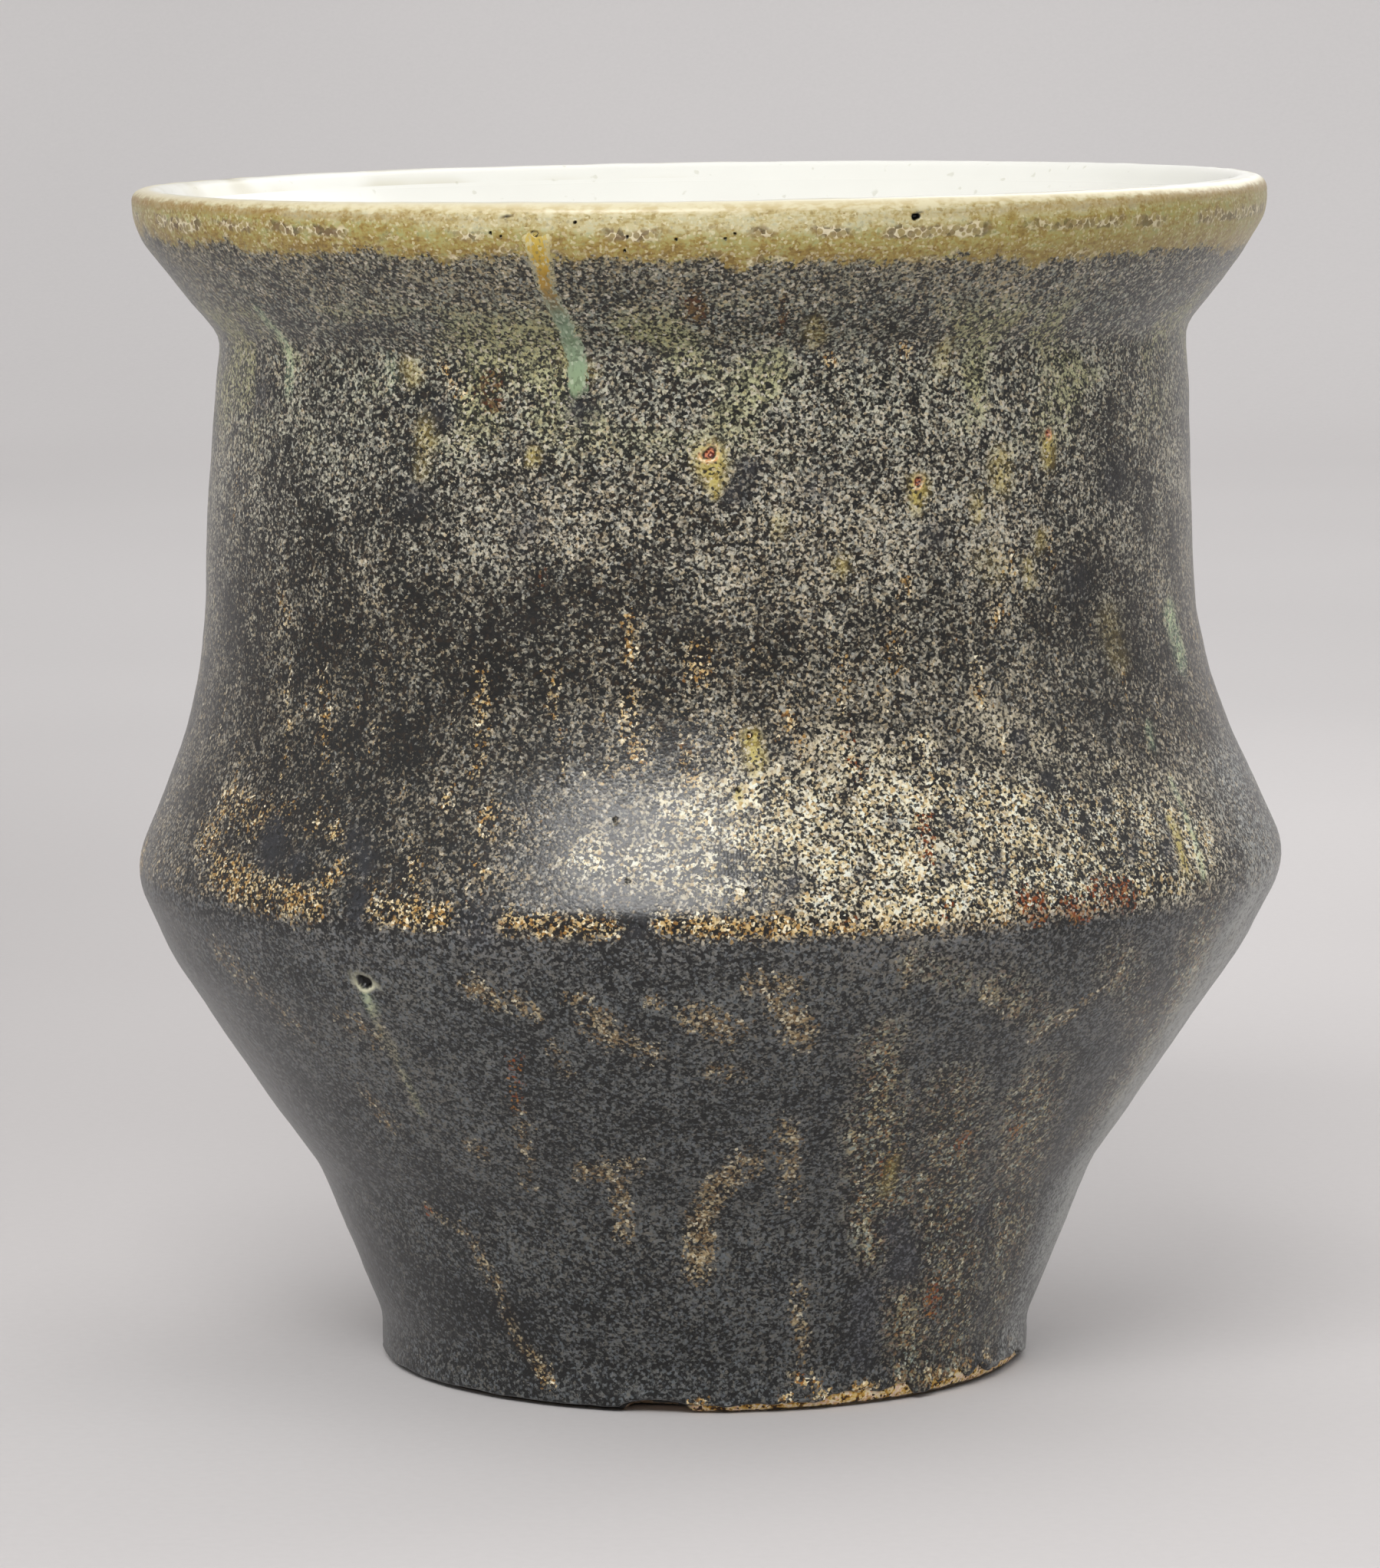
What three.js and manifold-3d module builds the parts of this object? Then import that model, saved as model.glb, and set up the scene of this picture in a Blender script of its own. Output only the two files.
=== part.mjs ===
// A wheel-thrown stoneware vase: a turned foot ring, a bowl that opens to a sharp low shoulder,
// a straight neck and a flared rim. The clay pot carries three coats of glaze: a dark one on the
// outside, a white liner inside that comes over the lip, and an ochre band between the two under
// the lip, with one run down the front of the neck.
//
// Millimetres, +Z up. Z is the wheel axis and the foot ring stands on z = 0. A bearing is an
// angle round Z, from the front, which is -Y, towards +X.
import * as THREE from 'three';
import { mergeVertices } from 'three/addons/utils/BufferGeometryUtils.js';
import Module from 'manifold-3d';

const wasm = await Module();
wasm.setup();

// Outside of the glazed pot: the radius at each corner, and its rise from the corner below. The
// lip's radius follows the shoulder's, which it lies a little inside.
const footRadius = 42.7;
const footRise = 5.5;
const kneeRadius = 51.1;
const kneeRise = 20.9;
const bellyRadius = 70.4;
const bellyRise = 28.9;
const shoulderRadius = 75.7;
const shoulderRise = 10.4;
const waistRadius = 65.1;
const waistRise = 24.4;
const neckRadius = 62.75;
const neckRise = 44.8;
const lipSetback = 2.2;
const flareRise = 14.2;
const lipRise = 5.1;

// The round that softens each of those corners
const footEdgeRound = 1.5;
const footBlend = 8.6;
const kneeBlend = 17;
const bellyBlend = 34;
const shoulderRound = 8;
const waistBlend = 66;
const neckRound = 4.7;
const lipBlend = 8;
const lipRound = 1.7;

// Inside of the glazed pot: the wall at each corner, measured level, and the inside's own rounds
const lipWidth = 3.8;
const neckWall = 4.4;
const shoulderWall = 6.2;
const bellyWall = 6.4;
const kneeWall = 6.8;
const footWall = 5.4;
const throatLift = 2.7;
const throatBlend = 7;
const innerShoulderBlend = 14;
const floorThickness = 6.4;
const floorDish = 0.6;
const floorBlend = 9;

// Foot ring, turned out underneath
const footRingWidth = 6;
const recessDepth = 3.6;
const recessTaper = 0.8;
const recessDome = 0.5;

// Glaze coats, and the clearances that keep them off the clay and off one another
const glazeThickness = 0.6;
const linerThickness = 0.5;
const bondGap = 0.3;
const seamGap = 0.3;

// Lines where the coats end: above the foot, under the band, and under the lip's round
const footLineHeight = 1;
const footLineWave = 0.3;
const bandDrop = 7.2;
const bandLineWave = 0.4;
const linerWrap = 0.3;
const wavesAround = 5;

// The run of band glaze down the front of the neck
const runBearing = -14.3;
const runWidth = 2.8;
const runFlare = 2;
const runRelief = 0.4;
const runStartDrop = 3.5;
const runEndDrop = 26;

// The chip knocked out of the foot's outer edge
const chipBearing = -8.8;
const chipWidth = 10;
const chipHeight = 1.5;
const chipDepth = 2.6;

// The pot dried a little askew: its rings slope, its wall wanders sideways as it climbs, and its
// neck leans
const ringSlope = 0.0135;
const shoulderShift = 0.3;
const wander = 0.46;
const wanderPitch = 71;
const wanderStart = 51;
const neckLean = 0.015;

// Facets: how many go round the pot, the chip and the run's curves, and how far one may stand
// off a round of the profile
const facetsAround = 44;
const chipFacets = 14;
const runFacets = 6;
const facetSag = 0.15;

// The share of a stretch of wall that its rounds may take up
const roundRoom = 0.95;

// The lip's radius, the heights of the outside corners, and places that follow from them
const lipRadius = shoulderRadius - lipSetback;
const kneeHeight = footRise + kneeRise;
const bellyHeight = kneeHeight + bellyRise;
const shoulderHeight = bellyHeight + shoulderRise;
const waistHeight = shoulderHeight + waistRise;
const neckHeight = waistHeight + neckRise;
const lipBaseHeight = neckHeight + flareRise;
const rimHeight = lipBaseHeight + lipRise;
const linerLine = rimHeight - lipRound - linerWrap;
const floorHeight = recessDepth + floorThickness;
const ringInnerRadius = footRadius - footRingWidth;
const beyondWalls = shoulderRadius + lipRadius;

// A corner of a profile: its radius and height, and the round that softens it
function corner(radius, height, round = 0) {
  return { at: new THREE.Vector2(radius, height), round };
}

// Both profiles are walked with the wall on the left: up the outside, and down the inside
const outside = [
  corner(ringInnerRadius, 0),
  corner(footRadius, 0, footEdgeRound),
  corner(footRadius, footRise, footBlend),
  corner(kneeRadius, kneeHeight, kneeBlend),
  corner(bellyRadius, bellyHeight, bellyBlend),
  corner(shoulderRadius, shoulderHeight, shoulderRound),
  corner(waistRadius, waistHeight, waistBlend),
  corner(neckRadius, neckHeight, neckRound),
  corner(lipRadius, lipBaseHeight, lipBlend),
  corner(lipRadius, linerLine - seamGap / 2),
];
const inside = [
  corner(lipRadius, linerLine + seamGap / 2),
  corner(lipRadius, rimHeight, lipRound),
  corner(lipRadius - lipWidth, rimHeight, lipRound),
  corner(neckRadius - neckWall, neckHeight + throatLift, throatBlend),
  corner(waistRadius - neckWall, waistHeight, waistBlend),
  corner(shoulderRadius - shoulderWall, shoulderHeight, innerShoulderBlend),
  corner(bellyRadius - bellyWall, bellyHeight, bellyBlend),
  corner(kneeRadius - kneeWall, kneeHeight),
  corner(footRadius - footWall, floorHeight, floorBlend),
  corner(0, floorHeight - floorDish),
];

// The stretches between a profile's corners
function stretchesOf(corners) {
  return corners.slice(1).map(({ at }, i) => at.clone().sub(corners[i].at));
}

// A direction's normal, to its left
function leftOf(stretch) {
  return new THREE.Vector2(-stretch.y, stretch.x).normalize();
}

// The same profile a distance deeper in the wall; a corner on the axis stays there
function sunk(corners, distance) {
  const normals = stretchesOf(corners).map(leftOf);
  return corners.map(({ at, round }, i) => {
    const before = normals[i - 1] ?? normals[i];
    const after = normals[i] ?? before;
    const shift = before.clone().add(after).multiplyScalar(distance / (1 + before.dot(after)));
    const turn = Math.sign(before.cross(after));
    const radius = at.x && at.x + shift.x;
    return corner(radius, at.y + shift.y, round && Math.max(0, round - turn * distance));
  });
}

// A profile's points, with an arc at each round; rounds that crowd a stretch share it
function pathOf(corners) {
  const stretches = stretchesOf(corners);
  const turns = corners.map((_, i) => {
    if (!stretches[i - 1] || !stretches[i]) return 0;
    return Math.atan2(stretches[i - 1].cross(stretches[i]), stretches[i - 1].dot(stretches[i]));
  });
  const reaches = corners.map(({ round }, i) => Math.abs(round * Math.tan(turns[i] / 2)));
  const crowding = stretches.map((stretch, i) => (
    Math.max(1, (reaches[i] + reaches[i + 1]) / (roundRoom * stretch.length()))
  ));
  return corners.flatMap(({ at }, i) => {
    if (!reaches[i]) return [at];
    const reach = reaches[i] / Math.max(crowding[i - 1], crowding[i]);
    const radius = reach / Math.abs(Math.tan(turns[i] / 2));
    const start = at.clone().addScaledVector(stretches[i - 1].clone().normalize(), -reach);
    const centre = start.clone().addScaledVector(leftOf(stretches[i - 1]), radius * Math.sign(turns[i]));
    const facetTurn = 2 * Math.acos(1 - Math.min(1, facetSag / radius));
    const facets = Math.ceil(Math.abs(turns[i]) / facetTurn);
    return Array.from({ length: facets + 1 }, (_, k) => (
      start.clone().rotateAround(centre, (turns[i] * k) / facets)
    ));
  });
}

// A closed profile turned on the wheel, from the front and round to it
function turned(points) {
  return new THREE.LatheGeometry(points, facetsAround).rotateX(Math.PI / 2);
}

function solidOf(geometry) {
  const bare = geometry.clone();
  bare.deleteAttribute('normal');
  bare.deleteAttribute('uv');
  const merged = mergeVertices(bare);
  return new wasm.Manifold(new wasm.Mesh({
    numProp: 3,
    vertProperties: Float32Array.from(merged.getAttribute('position').array),
    triVerts: Uint32Array.from(merged.index.array),
  }));
}

function geometryOf(solid) {
  const { vertProperties, triVerts } = solid.getMesh();
  const geometry = new THREE.BufferGeometry();
  geometry.setAttribute('position', new THREE.BufferAttribute(vertProperties, 3));
  geometry.setIndex(new THREE.BufferAttribute(triVerts, 1));
  return geometry;
}

// Everything between two wavy lines round the pot, from well inside the wall to well outside it
function girdle(low, lowWave, high, highWave) {
  const geometry = turned([
    new THREE.Vector2(0, low),
    new THREE.Vector2(ringInnerRadius, low),
    new THREE.Vector2(beyondWalls, low),
    new THREE.Vector2(beyondWalls, high),
    new THREE.Vector2(ringInnerRadius, high),
    new THREE.Vector2(0, high),
  ]);
  const place = geometry.getAttribute('position');
  for (let i = 0; i < place.count; i += 1) {
    const onAxis = Math.hypot(place.getX(i), place.getY(i)) < ringInnerRadius / 2;
    const wave = Math.sin(wavesAround * Math.atan2(place.getX(i), -place.getY(i)));
    const height = place.getZ(i) < (low + high) / 2 ? lowWave : highWave;
    if (!onAxis) place.setZ(i, place.getZ(i) + height * wave);
  }
  return solidOf(geometry);
}

// The space that the run takes, seen from the front: flared under the lip, round at its end
function runSpace(clearance) {
  const half = runWidth / 2 + clearance;
  const top = rimHeight - runStartDrop + clearance;
  const end = rimHeight - runEndDrop + runWidth / 2;
  const outline = new THREE.Shape();
  outline.moveTo(-half * runFlare, top);
  outline.bezierCurveTo(-half, (2 * top + end) / 3, -half / runFlare, (top + end) / 2, -half, end);
  outline.absarc(0, end, half, Math.PI, 2 * Math.PI);
  outline.bezierCurveTo(half / runFlare, (top + end) / 2, half, (2 * top + end) / 3, half * runFlare, top);
  const space = new THREE.ExtrudeGeometry(outline, {
    depth: beyondWalls,
    bevelEnabled: false,
    curveSegments: runFacets,
  });
  return solidOf(space.rotateX(Math.PI / 2).rotateZ(THREE.MathUtils.degToRad(runBearing)));
}

// The bite out of the foot's outer edge, as wide and high as the chip shows there
function chipSpace() {
  const bite = new THREE.SphereGeometry(1, chipFacets, chipFacets / 2);
  bite.scale(chipWidth / 2, chipDepth, chipHeight).translate(0, -footRadius, 0);
  return solidOf(bite.rotateZ(THREE.MathUtils.degToRad(chipBearing)));
}

// A coat of the outside, standing proud of it by a relief
function outsideCoat(relief) {
  const face = pathOf(sunk(outside, -relief));
  const back = pathOf(sunk(outside, glazeThickness)).reverse();
  return solidOf(turned([...face, ...back, face[0]]));
}

// The clay: underneath from the axis to the foot ring, up the outside, and down the inside. Its
// foot is turned softer than the glaze over it, which pools there.
function clayBody() {
  const glazeDepth = glazeThickness + bondGap;
  const underGlaze = sunk(outside, glazeDepth);
  const underLiner = sunk(inside, linerThickness + bondGap);
  const footEdge = corner(footRadius - glazeDepth, 0, footEdgeRound + glazeDepth);
  const profile = pathOf([
    corner(0, recessDepth + recessDome),
    corner(ringInnerRadius - recessTaper, recessDepth),
    corner(ringInnerRadius, 0),
    footEdge,
    ...underGlaze.slice(2),
    ...underLiner,
  ]);
  return solidOf(turned(profile)).subtract(chipSpace());
}

// The liner: up its back from the axis, round the edge under the lip, and down its face
function innerGlaze() {
  const back = pathOf(sunk(inside, linerThickness)).reverse();
  return turned([...back, ...pathOf(inside)]);
}

function outerGlaze() {
  const bandLine = rimHeight - bandDrop - seamGap / 2;
  return outsideCoat(0)
    .intersect(girdle(footLineHeight, footLineWave, bandLine, bandLineWave))
    .subtract(runSpace(seamGap))
    .subtract(chipSpace());
}

function rimGlaze() {
  const bandLine = rimHeight - bandDrop + seamGap / 2;
  const band = outsideCoat(0).intersect(girdle(bandLine, bandLineWave, 2 * rimHeight, 0));
  return band.add(outsideCoat(runRelief).intersect(runSpace(0)));
}

// The askew shape, which grows from nothing at the foot to its full size at the shoulder
function settled(geometry) {
  const place = geometry.getAttribute('position');
  for (let i = 0; i < place.count; i += 1) {
    const x = place.getX(i);
    const z = place.getZ(i);
    const share = THREE.MathUtils.smoothstep(z, 0, shoulderHeight);
    const sideways = shoulderShift + wander * Math.sin((2 * Math.PI * (z - wanderStart)) / wanderPitch);
    const lean = neckLean * Math.max(0, z - shoulderHeight);
    place.setXYZ(i, x + share * sideways - lean, place.getY(i), z + ringSlope * share * x);
  }
  geometry.computeVertexNormals();
  return geometry;
}

function piece(name, geometry, color, roughness) {
  const material = new THREE.MeshStandardMaterial({ color, roughness, metalness: 0 });
  const mesh = new THREE.Mesh(settled(geometry), material);
  mesh.name = name;
  return mesh;
}

const vase = new THREE.Group();
vase.add(
  piece('clay_body', geometryOf(clayBody()), '#d8c2ae', 0.9),
  piece('outer_glaze', geometryOf(outerGlaze()), '#484a4b', 0.45),
  piece('rim_glaze', geometryOf(rimGlaze()), '#8f7b45', 0.35),
  piece('inner_glaze', innerGlaze(), '#f3f1ea', 0.15),
);

export default vase;
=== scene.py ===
import math

import bmesh
import bpy
import numpy as np
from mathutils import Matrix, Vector


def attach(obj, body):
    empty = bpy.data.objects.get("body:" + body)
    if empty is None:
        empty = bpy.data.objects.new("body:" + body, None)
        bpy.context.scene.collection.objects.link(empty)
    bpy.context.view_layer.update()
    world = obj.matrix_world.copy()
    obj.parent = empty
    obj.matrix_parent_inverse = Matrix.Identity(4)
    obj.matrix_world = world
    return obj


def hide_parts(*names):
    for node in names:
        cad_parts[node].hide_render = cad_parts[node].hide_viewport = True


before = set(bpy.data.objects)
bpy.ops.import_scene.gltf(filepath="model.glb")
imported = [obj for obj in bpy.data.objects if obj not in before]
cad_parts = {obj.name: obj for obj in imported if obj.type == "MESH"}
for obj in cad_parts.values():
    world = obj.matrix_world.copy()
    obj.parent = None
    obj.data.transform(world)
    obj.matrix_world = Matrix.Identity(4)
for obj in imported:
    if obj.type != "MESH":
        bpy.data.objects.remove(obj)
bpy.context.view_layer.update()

# A wheel-thrown stoneware vase with its glazes. Sizes are in millimetres and become metres where
# a mesh is made. A bearing is an angle round Z in degrees, from the front, which is -Y, towards
# +X. A height is above the surface that the vase stands on.
MM = 0.001

# The pot's named sizes
RING_INNER_RADIUS = 36.7
FOOT_RADIUS = 42.7
SHOULDER_HEIGHT = 65.7
NECK_HEIGHT = 134.9
LIP_RADIUS = 73.5
LIP_WIDTH = 3.8
RIM_HEIGHT = 154.2
LINER_LINE = 152.2
BAND_LINE = 147.0

# Where the band's ragged colour ends, and where the shoulder's edge breaks the dark glaze
BAND_EDGE = 147.1
BREAK_LINE = 65.0

# The pot's outside, inside and underside at each corner: radius, height and the round there
OUTSIDE = [
    (RING_INNER_RADIUS, 0, 0),
    (FOOT_RADIUS, 0, 1.5),
    (FOOT_RADIUS, 5.5, 8.6),
    (51.1, 26.4, 17),
    (70.4, 55.3, 34),
    (75.7, SHOULDER_HEIGHT, 8),
    (65.1, 90.1, 66),
    (62.75, NECK_HEIGHT, 4.7),
    (LIP_RADIUS, 149.1, 8),
    (LIP_RADIUS, RIM_HEIGHT, 1.7),
]
INSIDE = [
    (LIP_RADIUS - LIP_WIDTH, RIM_HEIGHT, 1.7),
    (58.35, 137.6, 7),
    (60.7, 90.1, 66),
    (69.5, SHOULDER_HEIGHT, 14),
    (64.0, 55.3, 34),
    (44.3, 26.4, 0),
    (37.3, 10, 9),
    (0, 9.4, 0),
]
UNDERSIDE = [
    (0, 4.1, 0),
    (35.9, 3.6, 0.6),
    (RING_INNER_RADIUS, 0, 0.4),
]

# Coats: how far each one's back and the clay's face lie under the pot's face
COAT_BACK = 0.8
LINER_BACK = 0.7
CLAY_DEPTH = 0.6

# Every relief is sunk by this much, so that the waves stay inside the solids' box
SUNK = 0.11

# Where the glaze lies thicker: how much, and the heights where that starts, is full, wanes and ends
THICKER = [(0.2, 100, 112, 127, 133), (0.25, 26, 34, 55, 62), (0.2, 136, 140, 145, 148)]

# The chip out of the foot's outer edge, and the glaze's line above the foot
CHIP_BEARING = -8.3
CHIP_HALF_WIDTH = 4.6
CHIP_HEIGHT = 1.6
CHIP_DEPTH = 2.4
FOOT_LINE = 0.4

# The pot dried askew: its rings slope, its wall wanders sideways and its neck leans
RING_SLOPE = 0.0135
SHOULDER_SHIFT = 0.3
WANDER = 0.46
WANDER_PITCH = 71
WANDER_START = 51
NECK_LEAN = 0.015

# How strongly the glazes bend light, and the near black painted down in their pits as shade,
# which is also the dark glaze's blackest specks
GLAZE_IOR = 1.5
NEARLY_BLACK = (8, 6, 4)

# Columns round the pot, and the spacing of rows up its wall
COLUMNS = 432
RIM_COLUMNS = 3 * COLUMNS
ROW_SPACING = 1.1
RIM_ROW_SPACING = 0.35

# Tongues of the band that reach down: bearing and drop of each, and how many degrees wide they are
TONGUES = [(-12.6, 1.2), (3.2, 1.6), (-26, 0.8), (34, 0.9), (49, 0.8)]
TONGUE_WIDTH = 1.3

# Marks in the glaze. Each is a half width and a strength, then the bearing and the height of each
# point on its line.
GOLD = [
    # The fringe above the foot's bare edge
    (0.8, 0.8, -2, 1.2, 0, 1.3), (0.6, 0.7, 13, 1.6, 15, 1.7), (0.7, 0.8, 18.5, 2.0, 21, 2.1),
    (0.9, 0.9, 26.5, 2.4, 30, 2.6), (0.8, 0.6, 34.5, 2.8, 36, 3.4), (1.0, 1.0, 41, 2.6, 45, 2.6),
    (0.9, 0.9, 48, 3.0, 53, 3.2), (0.9, 0.7, 58, 3.4, 62, 3.4), (1.0, 0.7, 68, 3.8, 73, 3.6),
    # The broken line of gold above the shoulder's edge
    (2.6, 1.0, -57, 69.5, -50, 67.5, -41, 67.0), (1.9, 1.0, -33, 67.0, -30, 67.5, -26, 67.0),
    (1.5, 1.0, -18.5, 67.0, -14, 66.5, -9, 66.8), (1.5, 1.0, -4, 67.2, 2, 66.8, 9, 67.0),
    (1.3, 0.8, 11, 67.2, 16, 67.0, 22, 67.4), (1.4, 0.7, 24, 67.2, 30, 67.4),
    # Patches on the shoulder's left
    (2.4, 0.75, -60, 77, -53, 76, -48, 76.5), (1.8, 0.75, -43.5, 77, -40, 75.5),
    (1.6, 0.7, -38, 72.5, -40, 69.5), (1.3, 0.9, -22.6, 79.5, -22.1, 77),
    (1.0, 0.8, -22.4, 74.5, -22.2, 71), (1.3, 0.75, -30, 74, -29.6, 70),
    (0.9, 0.7, -27.5, 81.5, -27.2, 79.5), (2.6, 0.55, -63, 73, -58, 70.5),
    (1.0, 0.6, -34.5, 71, -33.5, 69),
    # Streaks down the neck's foot
    (1.2, 0.7, -46.8, 95, -45.8, 90, -44.6, 84), (0.9, 0.6, -51.5, 88, -50.5, 83),
    (1.6, 0.75, -25.1, 96, -24.8, 91.5), (1.2, 0.6, -24.6, 89, -24.3, 84),
    (1.0, 0.8, -8.3, 103.5, -8.2, 98), (1.0, 0.85, -8.1, 95, -7.9, 89),
    (1.4, 0.8, -7.6, 88.5, -6.9, 86), (1.9, 0.75, -0.8, 99.5, -0.8, 96.5),
    (1.0, 0.6, -17, 97, -16.5, 92), (1.0, 0.6, 9, 92, 10.5, 86), (1.2, 0.7, -2.5, 89, -1.5, 84),
    (0.9, 0.6, 31, 97, 31, 92), (1.2, 0.55, 21, 101, 21, 97),
    # Flecks in the neck
    (0.8, 0.6, 22.4, 107.5, 22.2, 105.5), (1.1, 0.8, 33.8, 103.9, 34, 102),
    (0.9, 0.6, -29, 131.5, -27, 129.5), (0.7, 0.9, -30.6, 133.6, -30.4, 133),
    (0.9, 0.7, 22.6, 136, 22.8, 135), (0.7, 0.9, 13.5, 134.6, 14.2, 134.4),
    (0.9, 0.5, 36, 110, 36, 107), (0.8, 0.5, 42, 112, 42, 107), (1.2, 0.45, -55, 104, -54, 100),
    (0.7, 0.6, -68, 118, -68, 112),
    # Patches on the lower cone
    (1.6, 0.65, -23.5, 58.5, -20.5, 56.5), (1.3, 0.6, -19, 57, -17.2, 54.8),
    (1.1, 0.6, -13.6, 57.6, -12, 57.6), (2.0, 0.8, -11.4, 54.6, -9.4, 52.4),
    (1.6, 0.7, -7.6, 51.5, -5.8, 50), (0.7, 0.8, -5.6, 57.6, -4.6, 57),
    (2.2, 0.55, -1.5, 55.5, 2.5, 53), (1.6, 0.65, 4.5, 60, 8, 59), (2.0, 0.75, 7.2, 56.5, 10, 52.5),
    (1.2, 0.5, 0.5, 47.8, 3.8, 47.4), (1.0, 0.55, -16, 50.5, -15, 47),
    (1.3, 0.65, -11.2, 32.5, -11.8, 24), (1.5, 0.6, -15.8, 33, -13, 33.5, -9, 34.5),
    (1.6, 0.55, 9.6, 40, 11.4, 30), (2.0, 0.75, 5.5, 35, 1, 31, -0.6, 27),
    (1.8, 0.85, -0.8, 27, -0.8, 19.5), (1.0, 0.7, -30.5, 36, -29.2, 35),
    (1.3, 0.4, -21.5, 42, -24, 31), (0.8, 0.6, -44, 25.6, -41, 24),
    (0.9, 0.5, -39, 23.6, -36.5, 22), (1.5, 0.5, -36.3, 20.5, -34.8, 16),
    (1.2, 0.65, -34.6, 15.6, -33.2, 9), (1.1, 1.0, -32.5, 8, -28, 3.6),
    (2.0, 0.4, -41, 51.5, -37.5, 50.5), (3.0, 0.28, -58, 58, -50, 50),
    (1.2, 0.5, 14.5, 17, 14.8, 13), (1.3, 0.45, 15.5, 12, 16.5, 8), (1.1, 0.7, 15.5, 5, 19, 3.6),
    (1.6, 0.6, 33.5, 14.5, 35.4, 8.5), (1.0, 0.6, 19.5, 62.5, 19.8, 59.5),
    (1.2, 0.5, 28.5, 58, 33, 54), (1.2, 0.5, 38, 50, 46, 57), (1.6, 0.4, -44, 41, -42, 38),
]
CREAM = [
    # The pale crystal bloom on the shoulder's right; near bearings 3 to 22 at heights 78 to 82 its
    # marks are also painted highlight
    (5.5, 0.9, 17, 82, 30, 79, 46, 76, 58, 73), (4.5, 0.9, 12, 75, 26, 72.5, 40, 72, 54, 71),
    (2.2, 1.0, 10, 70, 20, 69.2, 34, 69, 52, 68.5), (3.6, 0.75, -3, 80, 6, 77, 14, 74),
    (4.5, 0.75, 3, 82, 16, 81), (3.6, 0.85, 6, 78.5, 22, 78), (3.0, 0.7, -12, 75, -4, 74, 4, 72),
    (2.4, 0.65, 13, 88, 18, 86, 24, 86), (1.6, 0.8, 23.5, 88, 25.5, 85),
    (2.4, 0.35, 30, 90, 45, 84, 60, 78), (0.9, 0.4, -36.3, 54, -36.3, 49, -36, 40),
    (0.7, 0.7, -21, 121.9, -20.8, 121.5), (0.7, 0.7, -19.2, 121.3, -19, 120.9),
]
# Brown, beige and grey-green streaks down the lower cone's right
STREAKY = [
    (3.2, 0.8, 18.5, 51, 20.5, 42), (4.2, 1.0, 20.5, 41, 23, 33, 25, 28),
    (2.2, 1.0, 20.5, 37, 22.5, 29, 23.5, 25), (3.0, 0.9, 27, 29, 26, 22),
    (4.6, 0.75, 29, 43, 34, 34), (5.2, 0.9, 33, 33, 38, 25, 42, 17),
    (5.0, 0.75, 42, 42, 48, 31, 54, 20), (3.6, 0.95, 33, 15, 36, 9, 38, 4),
    (4.0, 0.85, 43, 20, 46, 10, 48, 4), (4.0, 0.6, 55, 22, 60, 8), (4.0, 0.4, 62, 50, 60, 34),
    (3.0, 0.55, 44, 60, 56, 50), (2.6, 0.5, 30, 58, 38, 52), (2.2, 0.4, 20, 62, 26, 59),
    (5.0, 0.8, 58, 62, 66, 40), (4.0, 0.7, 70, 60, 74, 30), (5.0, 0.7, 66, 84, 70, 68),
]
# Rust on the shoulder and iron spots elsewhere
RUST = [
    (1.8, 1.0, 31.4, 68.6, 33, 67.6), (1.5, 1.0, 36.5, 67.2, 38.5, 66.8),
    (1.8, 1.0, 40, 68.6, 44, 68.2), (1.0, 0.8, 22.3, 78.8, 22, 74.2),
    (0.9, 0.7, 15.4, 85.6, 16.2, 84.6), (0.8, 0.6, 23.3, 68.9, 23.3, 68.2),
    (0.7, 0.6, 13.3, 67.6, 13.5, 67.0), (0.8, 0.5, 14.9, 88.9, 15, 88.2),
    (1.6, 0.9, -24.6, 131, -24.2, 129.8), (0.75, 1.0, -18.2, 108.3, -18, 107.9),
    (1.3, 0.9, -1.4, 142.2, -1.0, 140.6), (0.5, 0.5, 7.7, 142.6, 8.1, 138),
    (1.0, 0.35, -20.6, 49, -22.4, 42), (0.9, 0.5, 23.4, 34.2, 23.6, 33),
    (1.1, 0.45, 33.6, 36.5, 33.8, 35.8), (0.9, 0.45, 42.4, 36.7, 42.6, 36),
    (1.4, 0.5, 38.5, 15, 40, 12), (0.6, 0.8, -43.8, 25.4, -43.4, 25),
    (0.6, 0.6, 16.2, 4.6, 16.6, 4.2),
]
# Celadon flecks and threads
MINT = [
    (2.2, 1.0, 67.6, 99.6, 68.8, 94.6), (0.8, 0.6, 56, 87, 55.7, 85),
    (1.0, 0.8, -56.4, 139, -55.8, 134), (0.8, 0.7, -55.8, 134, -55.4, 129),
    (0.7, 0.6, -36.2, 56.4, -36.1, 54), (0.45, 0.22, -36.2, 53.6, -36, 40),
    (0.8, 0.35, -38, 134, -37.5, 131), (0.6, 0.7, 56.6, 80, 57.2, 75, 56.2, 68.6),
]
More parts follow.
